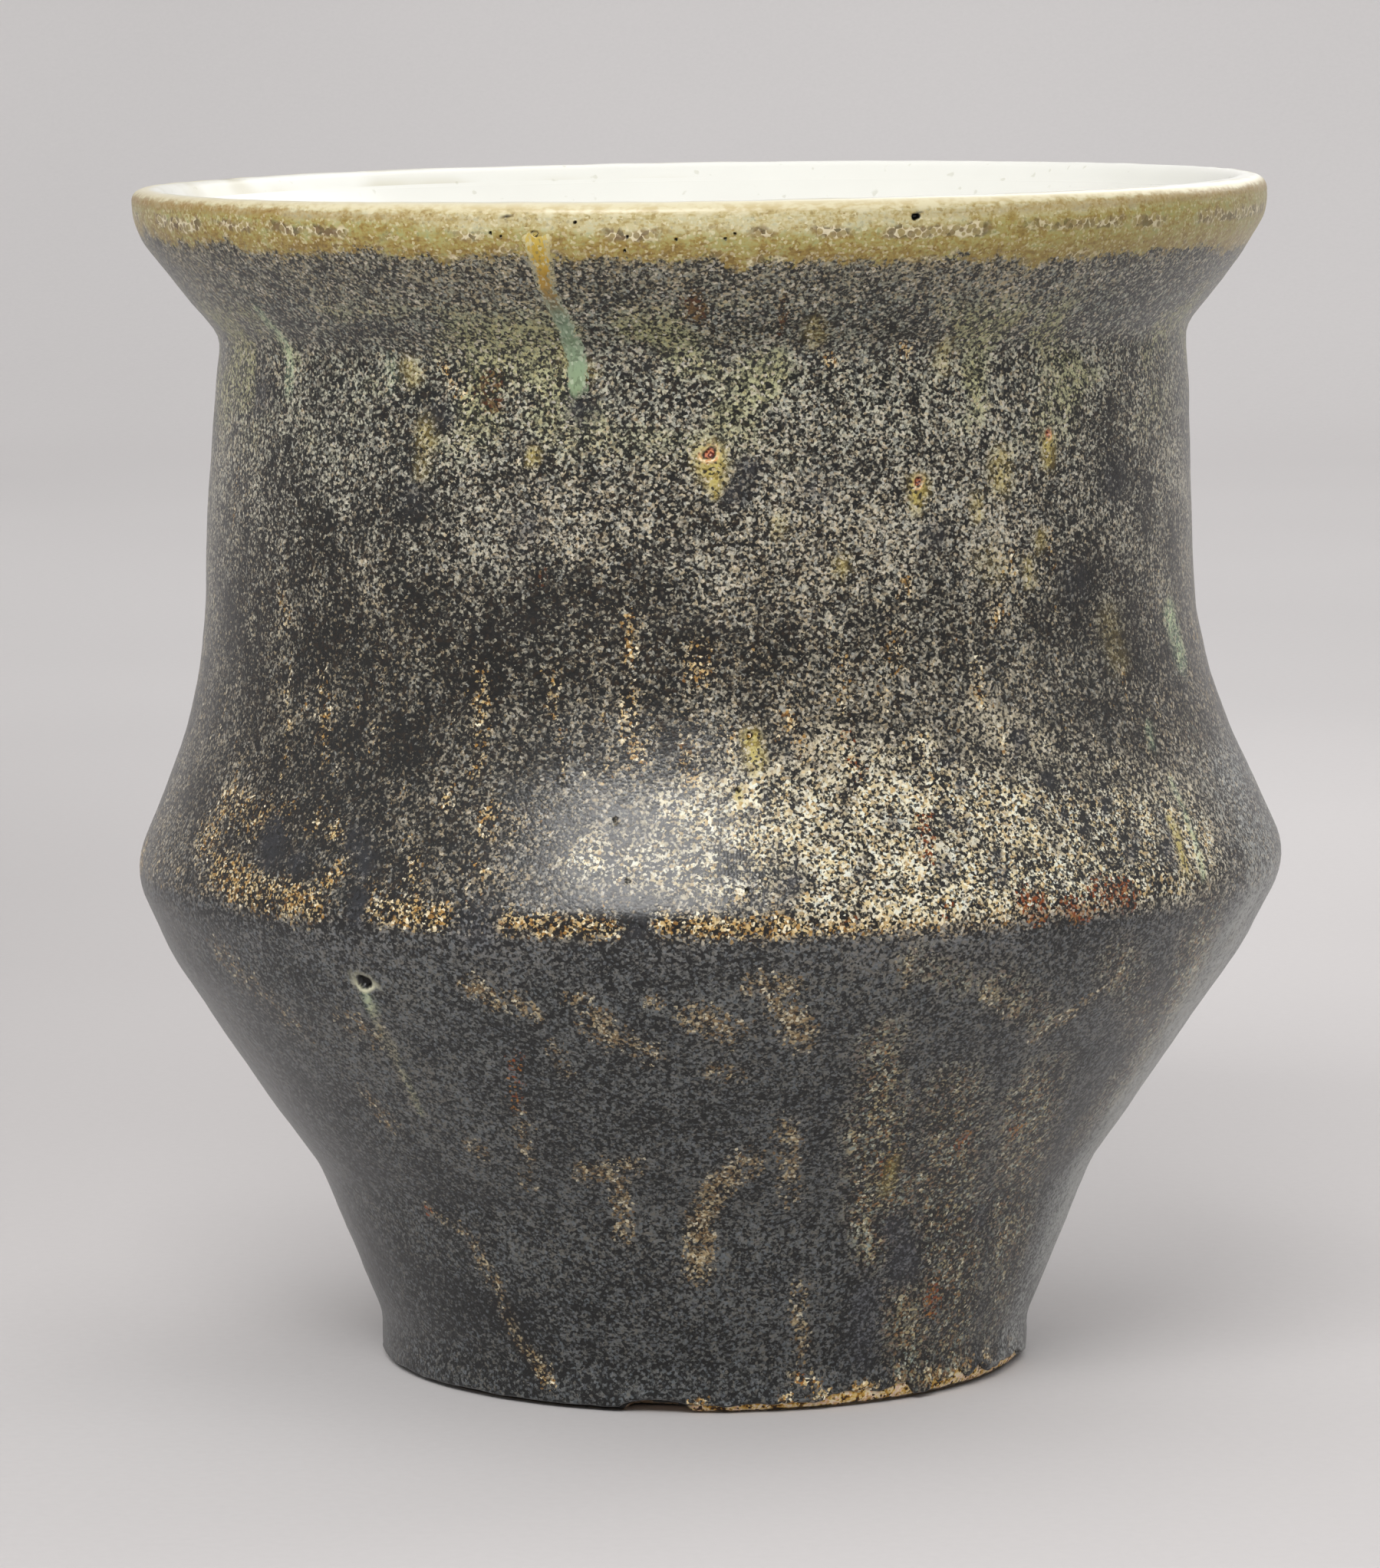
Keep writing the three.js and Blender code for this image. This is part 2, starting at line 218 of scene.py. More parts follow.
# Straw drips under the craters, and yellow flecks
STRAW = [
    (1.9, 1.0, 0.4, 122.8, 0.6, 121.8), (1.2, 1.0, 0.7, 121.6, 1.0, 119.8),
    (0.7, 0.9, 1.0, 119.8, 1.1, 118.6), (1.3, 1.0, 24.2, 119.2, 24.1, 118.0),
    (0.8, 0.9, 24.1, 118.0, 24.0, 116.4), (1.2, 0.8, 42.2, 123.6, 42.1, 121.2),
    (1.2, 0.9, 4.7, 89.0, 5.0, 87.4, 5.2, 86.0), (0.6, 0.7, 3.3, 82.6, 3.3, 81.8),
    (0.9, 0.5, 24.5, 34, 25, 30), (1.0, 0.5, 15, 110, 15, 109), (0.9, 0.4, 8, 115, 8, 114),
    (0.9, 0.45, 31.5, 117, 31.8, 115), (0.8, 0.5, 38.6, 109, 38.8, 106),
    (1.3, 0.5, -35.5, 133.2, -34.8, 131.8), (1.5, 0.5, -32.7, 125.6, -32.5, 124.2),
    (0.8, 0.8, -19.4, 123.2, -19.3, 122.4), (1.7, 0.5, 34.8, 121.6, 35.2, 118.8),
    (0.9, 0.6, 40.5, 112, 40.6, 111), (2.4, 0.24, 52, 100.5, 53, 96),
    (2.2, 0.2, 33, 109.4, 34, 108.4), (0.7, 0.95, 53.8, 76, 54.1, 73.9, 53.3, 69.8),
    (1.2, 0.35, -15.5, 135, -13, 133), (1.0, 0.35, -33, 122, -33, 120),
    (1.3, 0.4, 11.5, 139, 12, 137.5), (1.2, 0.4, 27.6, 136, 27.6, 133.5),
]
# Spots of slate where pale grains are few
SPOTS = [
    (1.0, 1.0, 35.2, 78.8), (0.9, 1.0, 38.6, 77.9), (1.0, 1.0, 44.6, 78.5), (1.0, 1.0, 40.9, 76.2),
    (1.3, 1.0, 45.9, 72.7), (1.9, 1.0, 51.5, 72.4), (1.0, 1.0, 24.9, 78.7), (0.9, 1.0, 26.7, 78.0),
    (1.1, 1.0, 27.0, 82.6), (1.1, 1.0, 26.1, 85.6), (0.9, 1.0, 29.3, 74.0), (1.2, 1.0, 23.7, 73.0),
    (1.1, 1.0, 29.3, 71.8), (1.2, 1.0, 35.4, 87.5), (1.3, 1.0, 37.9, 82.3), (1.2, 0.8, 19, 78.5),
    (1.4, 0.8, 8.5, 72), (1.0, 0.8, 15, 73), (2.6, 1.0, -49.6, 74.6, -48.6, 72.6),
    (1.6, 0.9, -44.6, 71.8), (2.0, 0.8, -37.5, 75.4, -35.6, 72.4),
    (1.5, 1.0, -35.2, 68.4, -35.4, 66), (3.0, 0.7, -22, 66.6), (1.6, 1.0, -6.4, 67),
    (2.4, 0.7, -13.8, 128.4), (1.8, 0.7, 4.6, 121.4), (1.8, 0.8, 3.2, 118.4), (2.4, 0.5, -20, 114),
    (2.6, 0.5, -34, 117), (2.0, 0.5, -31, 127), (2.8, 0.5, 12, 119), (2.2, 0.5, 26, 113),
    (3.0, 0.6, -62, 128), (3.6, 0.6, 54, 118), (3.0, 0.5, 46, 106),
    (2.6, 0.9, 30.6, 20.5, 32, 17.5), (2.0, 0.9, 27.6, 25, 29, 23.5), (2.6, 0.7, 26, 15, 27, 7),
    (1.4, 0.7, 44, 24), (0.8, 1.0, 52.3, 76.6, 52.6, 74, 51.9, 70.6), (1.3, 0.9, 47.5, 74.6),
]

# Broad patches where pale grains are denser (above 0) or sparser (below 0): half width, how much,
# and the bearing and height of each point on the patch's line. The paler patches at the pot's sides,
# from bearing 67 outwards either way, are painted sheen, and the two at bearings 4 to 22 near height
# 80 are partly painted highlight.
TONES = [
    (11, -0.07, -55, 118, -28, 104), (9, -0.08, -45, 103, -8, 104), (8, -0.05, 10, 100, 50, 98),
    (9, -0.05, 34, 120, 60, 112), (6, -0.05, 46, 128, 56, 120), (8, -0.05, -42, 131, -16, 124),
    (8, -0.06, -8, 119, 16, 115), (6, 0.05, 24, 128, 36, 128), (7, -0.04, -68, 130, -64, 95),
    (7, 0.1, -76, 72, -80, 40), (7, 0.1, 74, 74, 78, 64), (8, -0.07, -54, 98, -36, 88),
    (9, -0.05, -60, 98, -34, 92), (8, -0.07, -42, 84, -20, 81), (8, -0.06, -50, 74, -30, 71),
    (7, -0.05, -66, 104, -62, 72), (7, -0.05, -10, 101, 8, 98), (7, 0.09, 12, 90, 34, 91),
    (6, 0.07, 4, 81, 18, 80), (10, -0.09, -62, 56, -40, 20), (8, 0.34, 67, 60, 74, 20),
    (7, -0.16, -66, 16, -34, 8), (5, 0.08, 8, 79, 22, 78), (8, 0.03, 22, 110, 36, 104),
    (8, 0.03, 14, 124, 26, 116),
]

# Craters and pinholes: bearing, height, radius and depth, and whether pink clay shows in it
CRATERS = [
    (0.4, 123.3, 0.85, 0.5, True), (24.2, 119.5, 0.6, 0.6, True), (42.2, 124.6, 0.5, 0.5, True),
    (4.6, 89.3, 0.5, 0.7, False), (3.3, 82.8, 0.35, 0.5, False), (-36.0, 57.7, 1.05, 1.0, False),
    (-19.0, 152.1, 0.25, 0.4, False), (-16.2, 150.2, 0.42, 0.5, False),
    (-12.3, 151.6, 0.22, 0.4, False), (-20.6, 150.2, 0.22, 0.3, False),
    (-19.6, 149.8, 0.2, 0.3, False), (-7.4, 149.9, 0.22, 0.3, False),
    (-7.7, 148.2, 0.22, 0.3, False), (-2.8, 149.6, 0.22, 0.3, False),
    (1.8, 149.7, 0.22, 0.3, False), (2.7, 150.3, 0.2, 0.3, False), (-13.4, 146.3, 0.25, 0.3, False),
    (-10.8, 146.9, 0.2, 0.3, False), (20.1, 152.2, 0.55, 0.6, False),
    (-9.1, 79.2, 0.25, 0.4, False), (-7.5, 72.3, 0.25, 0.4, False), (3.9, 71.2, 0.28, 0.4, False),
    (-30.4, 133.9, 0.28, 0.4, False), (30.8, 142.6, 0.3, 0.3, False), (35.6, 64.2, 0.3, 0.4, False),
    (-14.9, 84.0, 0.25, 0.3, False),
]

# The run of band glaze: its half width, how far it stands off, about how far from the axis it is,
# and the bearing and height of each point down its line
RUN_HALF_WIDTH = 1.55
RUN_RELIEF = 0.32
RUN_RADIUS = 66
RUN_LINE = [
    (-15.7, 151.2), (-15.5, 147), (-15.6, 143.5), (-14.9, 140.2), (-14.3, 136), (-13.9, 129.6),
]


def seeded(seed):
    """Random numbers that are the same on each run."""
    return np.random.RandomState(seed)


def smooth(low, high, value):
    """0 below low, 1 above high and an S curve between."""
    share = np.clip((value - low) / (high - low), 0, 1)
    return share * share * (3 - 2 * share)


def between(starts, full, wanes, ends, value):
    """0 outside the span from starts to ends, 1 from full to wanes."""
    return smooth(starts, full, value) * (1 - smooth(wanes, ends, value))


def wrapped(degrees):
    """An angle between -180 and 180."""
    return (degrees + 180) % 360 - 180


def waves(points, length, seed, count=28):
    """A smooth random field between about -1 and 1, with waves of about that length in mm."""
    draw = seeded(seed)
    field = np.zeros(len(points))
    for _ in range(count):
        direction = draw.normal(size=3)
        direction /= np.linalg.norm(direction)
        number = 2 * math.pi / (length * draw.uniform(0.7, 1.4))
        field += np.sin(points @ direction * number + draw.uniform(0, 2 * math.pi))
    return field / math.sqrt(count) / 1.2


def left_of(stretch):
    return np.array([-stretch[1], stretch[0]]) / np.hypot(*stretch)


def sunk(corners, distance):
    """The same profile a distance deeper in the wall, which is on its left."""
    places = [np.array(c[:2], float) for c in corners]
    normals = [left_of(b - a) for a, b in zip(places, places[1:])]
    moved = []
    for i, (place, corner) in enumerate(zip(places, corners)):
        before = normals[i - 1] if i else normals[i]
        after = normals[i] if i < len(normals) else before
        shift = (before + after) * distance / (1 + before @ after)
        turn = np.sign(before[0] * after[1] - before[1] * after[0])
        radius = place[0] + shift[0] if place[0] else 0
        bend = max(0, corner[2] - turn * distance) if corner[2] else 0
        moved.append((radius, place[1] + shift[1], bend))
    return moved


def rounded(corners):
    """A profile's points, with a fine arc at each round; rounds that crowd a stretch share it."""
    room = 0.95
    arc_step = 0.15
    places = [np.array(c[:2], float) for c in corners]
    stretches = [b - a for a, b in zip(places, places[1:])]
    turns = [0]
    for a, b in zip(stretches, stretches[1:]):
        turns.append(math.atan2(a[0] * b[1] - a[1] * b[0], a @ b))
    turns.append(0)
    reaches = [abs(c[2] * math.tan(t / 2)) for c, t in zip(corners, turns)]
    crowding = [
        max(1, (reaches[i] + reaches[i + 1]) / (room * np.hypot(*stretch)))
        for i, stretch in enumerate(stretches)
    ]
    path = []
    for i, place in enumerate(places):
        if reaches[i] == 0:
            path.append(place)
            continue
        reach = reaches[i] / max(crowding[i - 1], crowding[i])
        radius = reach / abs(math.tan(turns[i] / 2))
        start = place - stretches[i - 1] / np.hypot(*stretches[i - 1]) * reach
        centre = start + left_of(stretches[i - 1]) * radius * np.sign(turns[i])
        steps = max(2, math.ceil(abs(turns[i]) * radius / arc_step))
        for k in range(steps + 1):
            angle = turns[i] * k / steps
            arm = start - centre
            path.append(centre + np.array([
                arm[0] * math.cos(angle) - arm[1] * math.sin(angle),
                arm[0] * math.sin(angle) + arm[1] * math.cos(angle),
            ]))
    return np.array(path)


class Wall:
    """A profile measured along its own length, with its radius, height and outward normal."""

    def __init__(self, path):
        keep = np.r_[True, np.hypot(*np.diff(path, axis=0).T) > 1e-6]
        path = path[keep]
        along = np.r_[0, np.cumsum(np.hypot(*np.diff(path, axis=0).T))]
        self.length = along[-1]
        self.along = np.linspace(0, self.length, int(self.length / 0.1) + 2)
        self.radius = np.interp(self.along, along, path[:, 0])
        self.height = np.interp(self.along, along, path[:, 1])
        tangent = np.c_[np.gradient(self.radius), np.gradient(self.height)]
        tangent /= np.hypot(*tangent.T)[:, None]
        self.normal = np.c_[tangent[:, 1], -tangent[:, 0]]

    def at_height(self, height, until):
        """How far up the outside that height is; until is where the outside ends."""
        outside = self.along <= until
        return np.interp(height, self.height[outside], self.along[outside])

    def place(self, along, relief):
        """Radius and height at that length, standing off the face by a relief."""
        out_r = np.interp(along, self.along, self.normal[:, 0])
        out_z = np.interp(along, self.along, self.normal[:, 1])
        radius = np.interp(along, self.along, self.radius) + out_r * relief
        height = np.interp(along, self.along, self.height) + out_z * relief
        return np.maximum(radius, 0), height


POT = Wall(rounded(OUTSIDE + INSIDE))
RIM_ALONG = float(POT.along[np.argmax(POT.height)])


def askew(bearing, radius, height):
    """Points on the pot after it dried askew, in mm."""
    turn = np.radians(bearing)
    x = radius * np.sin(turn)
    y = -radius * np.cos(turn)
    share = smooth(0, SHOULDER_HEIGHT, height)
    sideways = SHOULDER_SHIFT + WANDER * np.sin(2 * math.pi * (height - WANDER_START) / WANDER_PITCH)
    lean = NECK_LEAN * np.maximum(0, height - SHOULDER_HEIGHT)
    return np.c_[x + share * sideways - lean, y, height + RING_SLOPE * share * x]


def bearing_of(points):
    return np.degrees(np.arctan2(points[:, 0], -points[:, 1]))


def mark_field(points, marks):
    """How strongly the marks cover each point: 1 along a mark's line, 0 past its edge."""
    bearing = bearing_of(points)
    height = points[:, 2]
    radius = np.hypot(points[:, 0], points[:, 1])
    field = np.zeros(len(points))
    for half_width, strength, *line in marks:
        spots = list(zip(line[::2], line[1::2]))
        ends = spots if len(spots) > 1 else spots * 2
        for (b0, h0), (b1, h1) in zip(ends, ends[1:]):
            near = np.abs(height - (h0 + h1) / 2) < abs(h1 - h0) / 2 + 3 * half_width
            across = np.radians(wrapped(bearing[near] - b0)) * radius[near]
            up = height[near] - h0
            run = np.radians(b1 - b0) * radius[near]
            rise = h1 - h0
            share = np.clip((across * run + up * rise) / np.maximum(run ** 2 + rise ** 2, 1e-6), 0, 1)
            gap = np.hypot(across - share * run, up - share * rise)
            cover = strength * (1 - smooth(0.2 * half_width, 1.55 * half_width, gap))
            field[near] = np.maximum(field[near], cover)
    return field


def crater_gaps(points, crater):
    """How far each point is from a crater's middle, in crater radii."""
    bearing, height, radius = crater[:3]
    from_axis = np.hypot(points[:, 0], points[:, 1])
    round_pot = np.radians(wrapped(bearing_of(points) - bearing)) * from_axis
    up = points[:, 2] - height
    angle = np.arctan2(up, round_pot)
    uneven = 1 + 0.14 * np.sin(2 * angle + bearing) + 0.1 * np.sin(3 * angle + height)
    return np.hypot(round_pot, up) / (radius * uneven)


def crater_relief(points):
    """Pits with a slightly raised lip."""
    relief = np.zeros(len(points))
    for crater in CRATERS:
        gap = crater_gaps(points, crater)
        near = gap < 3
        pit = -crater[3] * (1 - smooth(0.35, 1.0, gap[near]))
        lip = 0.07 * np.exp(-((gap[near] - 1.35) / 0.35) ** 2)
        relief[near] += pit + lip
    return relief


def throwing_relief(points):
    """The faint rings that the potter's fingers left, and the wall's slow unevenness."""
    ring_pitch = 8.5
    fine_pitch = 2.7
    turn = 2 * math.pi * points[:, 2]
    slow = waves(points, 60, 11)
    rings = np.sin(turn / ring_pitch + 1.5 * slow) * (0.6 + 0.4 * waves(points, 40, 12))
    fine = np.sin(turn / fine_pitch + 3 * slow) * (0.5 + 0.5 * waves(points, 25, 13))
    return 0.045 * rings + 0.015 * fine + 0.05 * slow


def glaze_relief(points):
    """Throwing rings under the glaze, the glaze's own gentle skin, and its craters."""
    skin = 0.02 * waves(points, 4.5, 21) + 0.012 * waves(points, 2.2, 22)
    thicker = sum(amount * between(*span, points[:, 2]) for amount, *span in THICKER)
    return throwing_relief(points) + skin + crater_relief(points) + thicker - SUNK


def rim_relief(points):
    """The band's skin, which blistered in a row under the lip."""
    bearing = bearing_of(points)
    row = np.exp(-((points[:, 2] - RING_SLOPE * points[:, 0] - 150.4) / 0.55) ** 2)
    patchy = smooth(-0.1, 0.5, waves(np.c_[bearing, bearing * 0, bearing * 0], 16, 31))
    blisters = 0.13 * row * patchy * np.maximum(0, waves(points, 1.3, 32))
    return glaze_relief(points) + blisters


def foot_line(bearing):
    """The height of the glaze's lower edge, lifted over the chip and where it flaked on the right."""
    turn = np.radians(bearing)
    around = FOOT_RADIUS * np.c_[np.sin(turn), -np.cos(turn), 0 * turn]
    line = FOOT_LINE + 0.1 * waves(around, 9, 41) + 0.06 * waves(around, 3, 42)
    flaked = 0.45 * smooth(-3.5, -2, bearing) + 1.25 * smooth(10, 30, bearing)
    flaked = flaked * (1 - smooth(74, 84, bearing))
    line = line + flaked * np.maximum(0, 0.95 + 0.5 * waves(around, 5, 43) + 0.3 * waves(around, 2, 47))
    off = np.radians(wrapped(bearing - CHIP_BEARING)) * FOOT_RADIUS / (CHIP_HALF_WIDTH + 0.4)
    over_chip = CHIP_HEIGHT * np.sqrt(np.maximum(0, 1 - off ** 2)) + 0.2
    return np.where(np.abs(off) < 1, np.maximum(line, over_chip), line)


def chip_relief(points):
    """The bite that the chip takes out of the clay."""
    across = np.radians(wrapped(bearing_of(points) - CHIP_BEARING)) * FOOT_RADIUS / CHIP_HALF_WIDTH
    up = points[:, 2] / (CHIP_HEIGHT * (1 + 0.15 * waves(points, 4, 45)))
    inside = np.maximum(0, 1 - across ** 2 - up ** 2)
    rough = 1 + 0.2 * waves(points, 1.6, 44)
    outer_side = smooth(36, 40.5, np.hypot(points[:, 0], points[:, 1]))
    return -CHIP_DEPTH * np.sqrt(inside) * rough * outer_side


def finished_mesh(grid, name, sharp_angle=180):
    """A smooth mesh from a bmesh, sharp only at edges that turn by more than that angle."""
    mesh = bpy.data.meshes.new(name)
    grid.to_mesh(mesh)
    grid.free()
    mesh.polygons.foreach_set("use_smooth", [True] * len(mesh.polygons))
    if sharp_angle < 180:
        mesh.set_sharp_from_angle(angle=math.radians(sharp_angle))
    return mesh


def shell_mesh(name, wall, columns, rows, low, high, relief, refine=(), cuts=3):
    """A closed ring round the pot. Rows go up its face and down its back: each is a share of the
    way from the low line to the high line, and a depth under the wall's face."""
    shares = np.array([r[0] for r in rows + rows[:1]])
    depths = np.array([r[1] for r in rows + rows[:1]])
    bearings = np.linspace(-180, 180, columns + 1)
    count = len(shares)
    grid = bmesh.new()
    net = [[grid.verts.new((b, k, 0)) for k in range(count)] for b in bearings]
    for i in range(columns):
        for k in range(count - 1):
            grid.faces.new((net[i][k], net[i + 1][k], net[i + 1][k + 1], net[i][k + 1]))

    def placed(co):
        row = co[:, 1]
        share = np.interp(row, np.arange(count), shares)
        depth = np.interp(row, np.arange(count), depths)
        bearing = co[:, 0]
        along = low(bearing) * (1 - share) + high(bearing) * share
        base = askew(bearing, *wall.place(along, 0))
        stand = relief(base) * (depth < 1e-6) if relief else 0
        return askew(bearing, *wall.place(along, stand - depth))

    def coordinates():
        return np.array([v.co for v in grid.verts])

    for radius, spots in refine:
        grid.faces.ensure_lookup_table()
        centres = np.array([f.calc_center_median() for f in grid.faces])
        middle = placed(centres)
        chosen = np.zeros(len(centres), bool)
        from_axis = np.hypot(middle[:, 0], middle[:, 1])
        for bearing, height, spot_radius, *_ in spots:
            gap = np.radians(wrapped(bearing_of(middle) - bearing)) * from_axis
            chosen |= np.hypot(gap, middle[:, 2] - height) < radius + spot_radius
        chosen &= np.interp(centres[:, 1], np.arange(count), depths) < 1e-6
        edges = {e for f, take in zip(grid.faces, chosen) if take for e in f.edges}
        bmesh.ops.subdivide_edges(grid, edges=list(edges), cuts=cuts, use_grid_fill=True)
    for vert, place in zip(grid.verts, placed(coordinates())):
        vert.co = Vector(place) * MM
    bmesh.ops.remove_doubles(grid, verts=grid.verts, dist=1e-7)
    bmesh.ops.dissolve_degenerate(grid, edges=grid.edges, dist=1e-8)
    bmesh.ops.recalc_face_normals(grid, faces=grid.faces)
    return finished_mesh(grid, name, sharp_angle=55)


def even_rows(length, spacing):
    """Shares of the way up a face, about evenly spaced."""
    return list(np.linspace(0, 1, max(2, round(length / spacing)) + 1))


def coat_rows(length, spacing, back, roll=0.0):
    """Rows of a coat: up its face, over its top edge and down its back. A roll closes its lower
    edge with a quarter round of that width."""
    rows = []
    if roll:
        for k in range(6):
            angle = math.pi / 2 * k / 6
            depth = CLAY_DEPTH * (1 - math.sin(angle)) + 1e-5
            rows.append((roll * (1 - math.cos(angle)) / length, depth))
    start = roll / length
    rows += [(start + (1 - start) * share, 0) for share in even_rows(length, spacing)]
    rows += [(share, back) for share in np.linspace(1, 0, max(8, round(length / 3.4)))]
    return rows


def in_scene(name, data):
    """A new object that shows a mesh, a lamp or a camera."""
    thing = bpy.data.objects.new(name, data)
    bpy.context.scene.collection.objects.link(thing)
    return thing


def new_piece(name, mesh, node, material):
    """A finished piece of the vase: it stands for a CAD node and rides on the one body."""
    piece = in_scene(name, mesh)
    mesh.materials.append(material)
    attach(piece, "root")
    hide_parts(node)
    return piece


def points_of(mesh):
    points = np.zeros(3 * len(mesh.vertices))
    mesh.vertices.foreach_get("co", points)
    return points.reshape(-1, 3) / MM


def paint(mesh, name, values):
    """Keeps a number at each vertex for the materials."""
    kept = mesh.attributes.new(name, "FLOAT", "POINT")
    kept.data.foreach_set("value", np.asarray(values, np.float32))


def unseen_marks(seed, count, heights, half_widths, strengths, drop):
    """More marks of a kind for the pot's back, scattered as they are on its front."""
    draw = seeded(seed)
    marks = []
    for _ in range(count):
        bearing = draw.uniform(82, 278)
        height = draw.uniform(*heights)
        width = draw.uniform(*half_widths)
        end = (wrapped(bearing) + draw.uniform(-1, 1), height - draw.uniform(0, drop))
        marks.append((width, draw.uniform(*strengths), wrapped(bearing), height, *end))
    return marks


def paint_glaze(mesh, lined=False):
    """The numbers that the glazes read: heights, lines and marks. The liner is lined all the way
    down from the lip."""
    points = points_of(mesh)
    bearing = bearing_of(points)
    radius = np.hypot(points[:, 0], points[:, 1])
    level = points[:, 2] - RING_SLOPE * points[:, 0]
    turn = np.radians(bearing)
    reach = 70
    around = reach * np.c_[np.sin(turn), np.cos(turn), 0 * turn]
    band_edge = BAND_EDGE - 0.5 * np.sin(turn)
    band_edge = band_edge + 0.45 * waves(around, 14, 51) + 0.4 * waves(around, 4, 52)
    for tongue, drop in TONGUES:
        band_edge = band_edge - drop * np.exp(-(wrapped(bearing - tongue) / TONGUE_WIDTH) ** 2)
    paint(mesh, "band", points[:, 2] - band_edge)
    lip_round = 1.2
    over_lip = np.maximum(0, LIP_RADIUS - lip_round - radius)
    if lined:
        over_lip = over_lip + RIM_HEIGHT * (1 - smooth(LINER_LINE - 3, LINER_LINE - 0.3, level))
    paint(mesh, "lip", level - LINER_LINE + over_lip)
    paint(mesh, "level", level)
    paint(mesh, "front", np.exp(-(bearing / 38) ** 2))
    break_line = BREAK_LINE + 0.3 * waves(around, 22, 53) + 0.25 * waves(around, 6, 54)
    paint(mesh, "shoulder", points[:, 2] - break_line)
    for name, marks, *unseen in (
        ("gold", GOLD, (61, 60, (20, 100), (1, 2.2), (0.4, 0.8), 5),
         (62, 26, (66.5, 68), (1.2, 2.4), (0.7, 1), 1)),
        ("cream", CREAM, (63, 22, (24, 82), (1.8, 4.5), (0.3, 0.7), 9)),
        ("streaky", STREAKY, (68, 12, (12, 50), (2.5, 5), (0.4, 0.8), 12)),
        ("rust", RUST, (64, 22, (20, 130), (0.6, 1.3), (0.4, 0.9), 2)),
        ("mint", MINT, (65, 8, (60, 135), (0.6, 1), (0.4, 0.8), 5)),
        ("straw", STRAW, (66, 14, (60, 130), (0.8, 1.2), (0.4, 0.9), 3)),
        ("spots", SPOTS, (67, 40, (40, 130), (1, 2.8), (0.5, 1), 1)),
    ):
        for scatter in unseen:
            marks = marks + unseen_marks(*scatter)
        paint(mesh, name, mark_field(points, marks))
    tone = np.zeros(len(points))
    for half_width, amount, *line in TONES:
        tone += amount * mark_field(points, [(half_width, 1.0, *line)])
    paint(mesh, "tone", tone)
    # Painted sheen: pale grey grains down the pot's right side below the shoulder, where the glaze
    # catches light at a glancing angle.
    painted_sheen = between(56, 72, 92, 104, bearing) * (1 - smooth(78, 88, level))
    paint(mesh, "painted_sheen", painted_sheen)
    pit = np.zeros(len(points))
    clay = np.zeros(len(points))
    halo = np.zeros(len(points))
    ringed_radius = 0.7
    for crater in CRATERS:
        _, height, pit_radius, _, shows_clay = crater
        gap = crater_gaps(points, crater)
        # Painted shade: the pit's near black, out to about its rim.
        pit = np.maximum(pit, 1 - smooth(0.85, 1.08, gap))
        if shows_clay or pit_radius > ringed_radius:
            below = smooth(-0.6, 0.9, (height - points[:, 2]) / pit_radius)
            halo = np.maximum(halo, between(0.85, 1.05, 1.25, 1.6, gap) * (0.3 + 0.7 * below))
        if shows_clay:
            clay = np.maximum(clay, 1 - smooth(0.55, 0.8, gap))
    paint(mesh, "pit", pit)
    paint(mesh, "bare", clay)
    paint(mesh, "halo", halo)


def linear(red, green, blue):
    """An sRGB colour, 0 to 255, as Blender's linear one."""
    def channel(value):
        share = value / 255
        return share / 12.92 if share <= 0.04045 else ((share + 0.055) / 1.055) ** 2.4
    return (channel(red), channel(green), channel(blue), 1)


class Value:
    """A number or colour that nodes work out. Numbers can be added and multiplied."""

    def __init__(self, nodes, socket):
        self.nodes = nodes
        self.socket = socket

    def __add__(self, other):
        return self.nodes.math("ADD", self, other)

    def __sub__(self, other):
        return self.nodes.math("SUBTRACT", self, other)

    def __rsub__(self, other):
        return self.nodes.math("SUBTRACT", other, self)

    def __mul__(self, other):
        return self.nodes.math("MULTIPLY", self, other)

    __radd__ = __add__
    __rmul__ = __mul__


class Nodes:
    """The nodes of a material or the world."""

    def __init__(self, owner):
        owner.use_nodes = True
        self.tree = owner.node_tree

    def fill(self, node, inputs):
        """Gives a node's inputs Values, numbers or sRGB colours."""
        for key, value in inputs.items():
            if isinstance(value, Value):
                self.tree.links.new(value.socket, node.inputs[key])
            else:
                plain = linear(*value) if isinstance(value, tuple) else value
                node.inputs[key].default_value = plain
        return node

    def node(self, kind, inputs=None, **settings):
        """A new node, with its settings made and its inputs filled."""
        node = self.tree.nodes.new("ShaderNode" + kind)
        for name, setting in settings.items():
            setattr(node, name, setting)
        return self.fill(node, inputs or {})

    def out(self, node, key=0):
        return Value(self, node.outputs[key])

    def math(self, operation, a, b, clamp=False):
        return self.out(self.node("Math", {0: a, 1: b}, operation=operation, use_clamp=clamp))


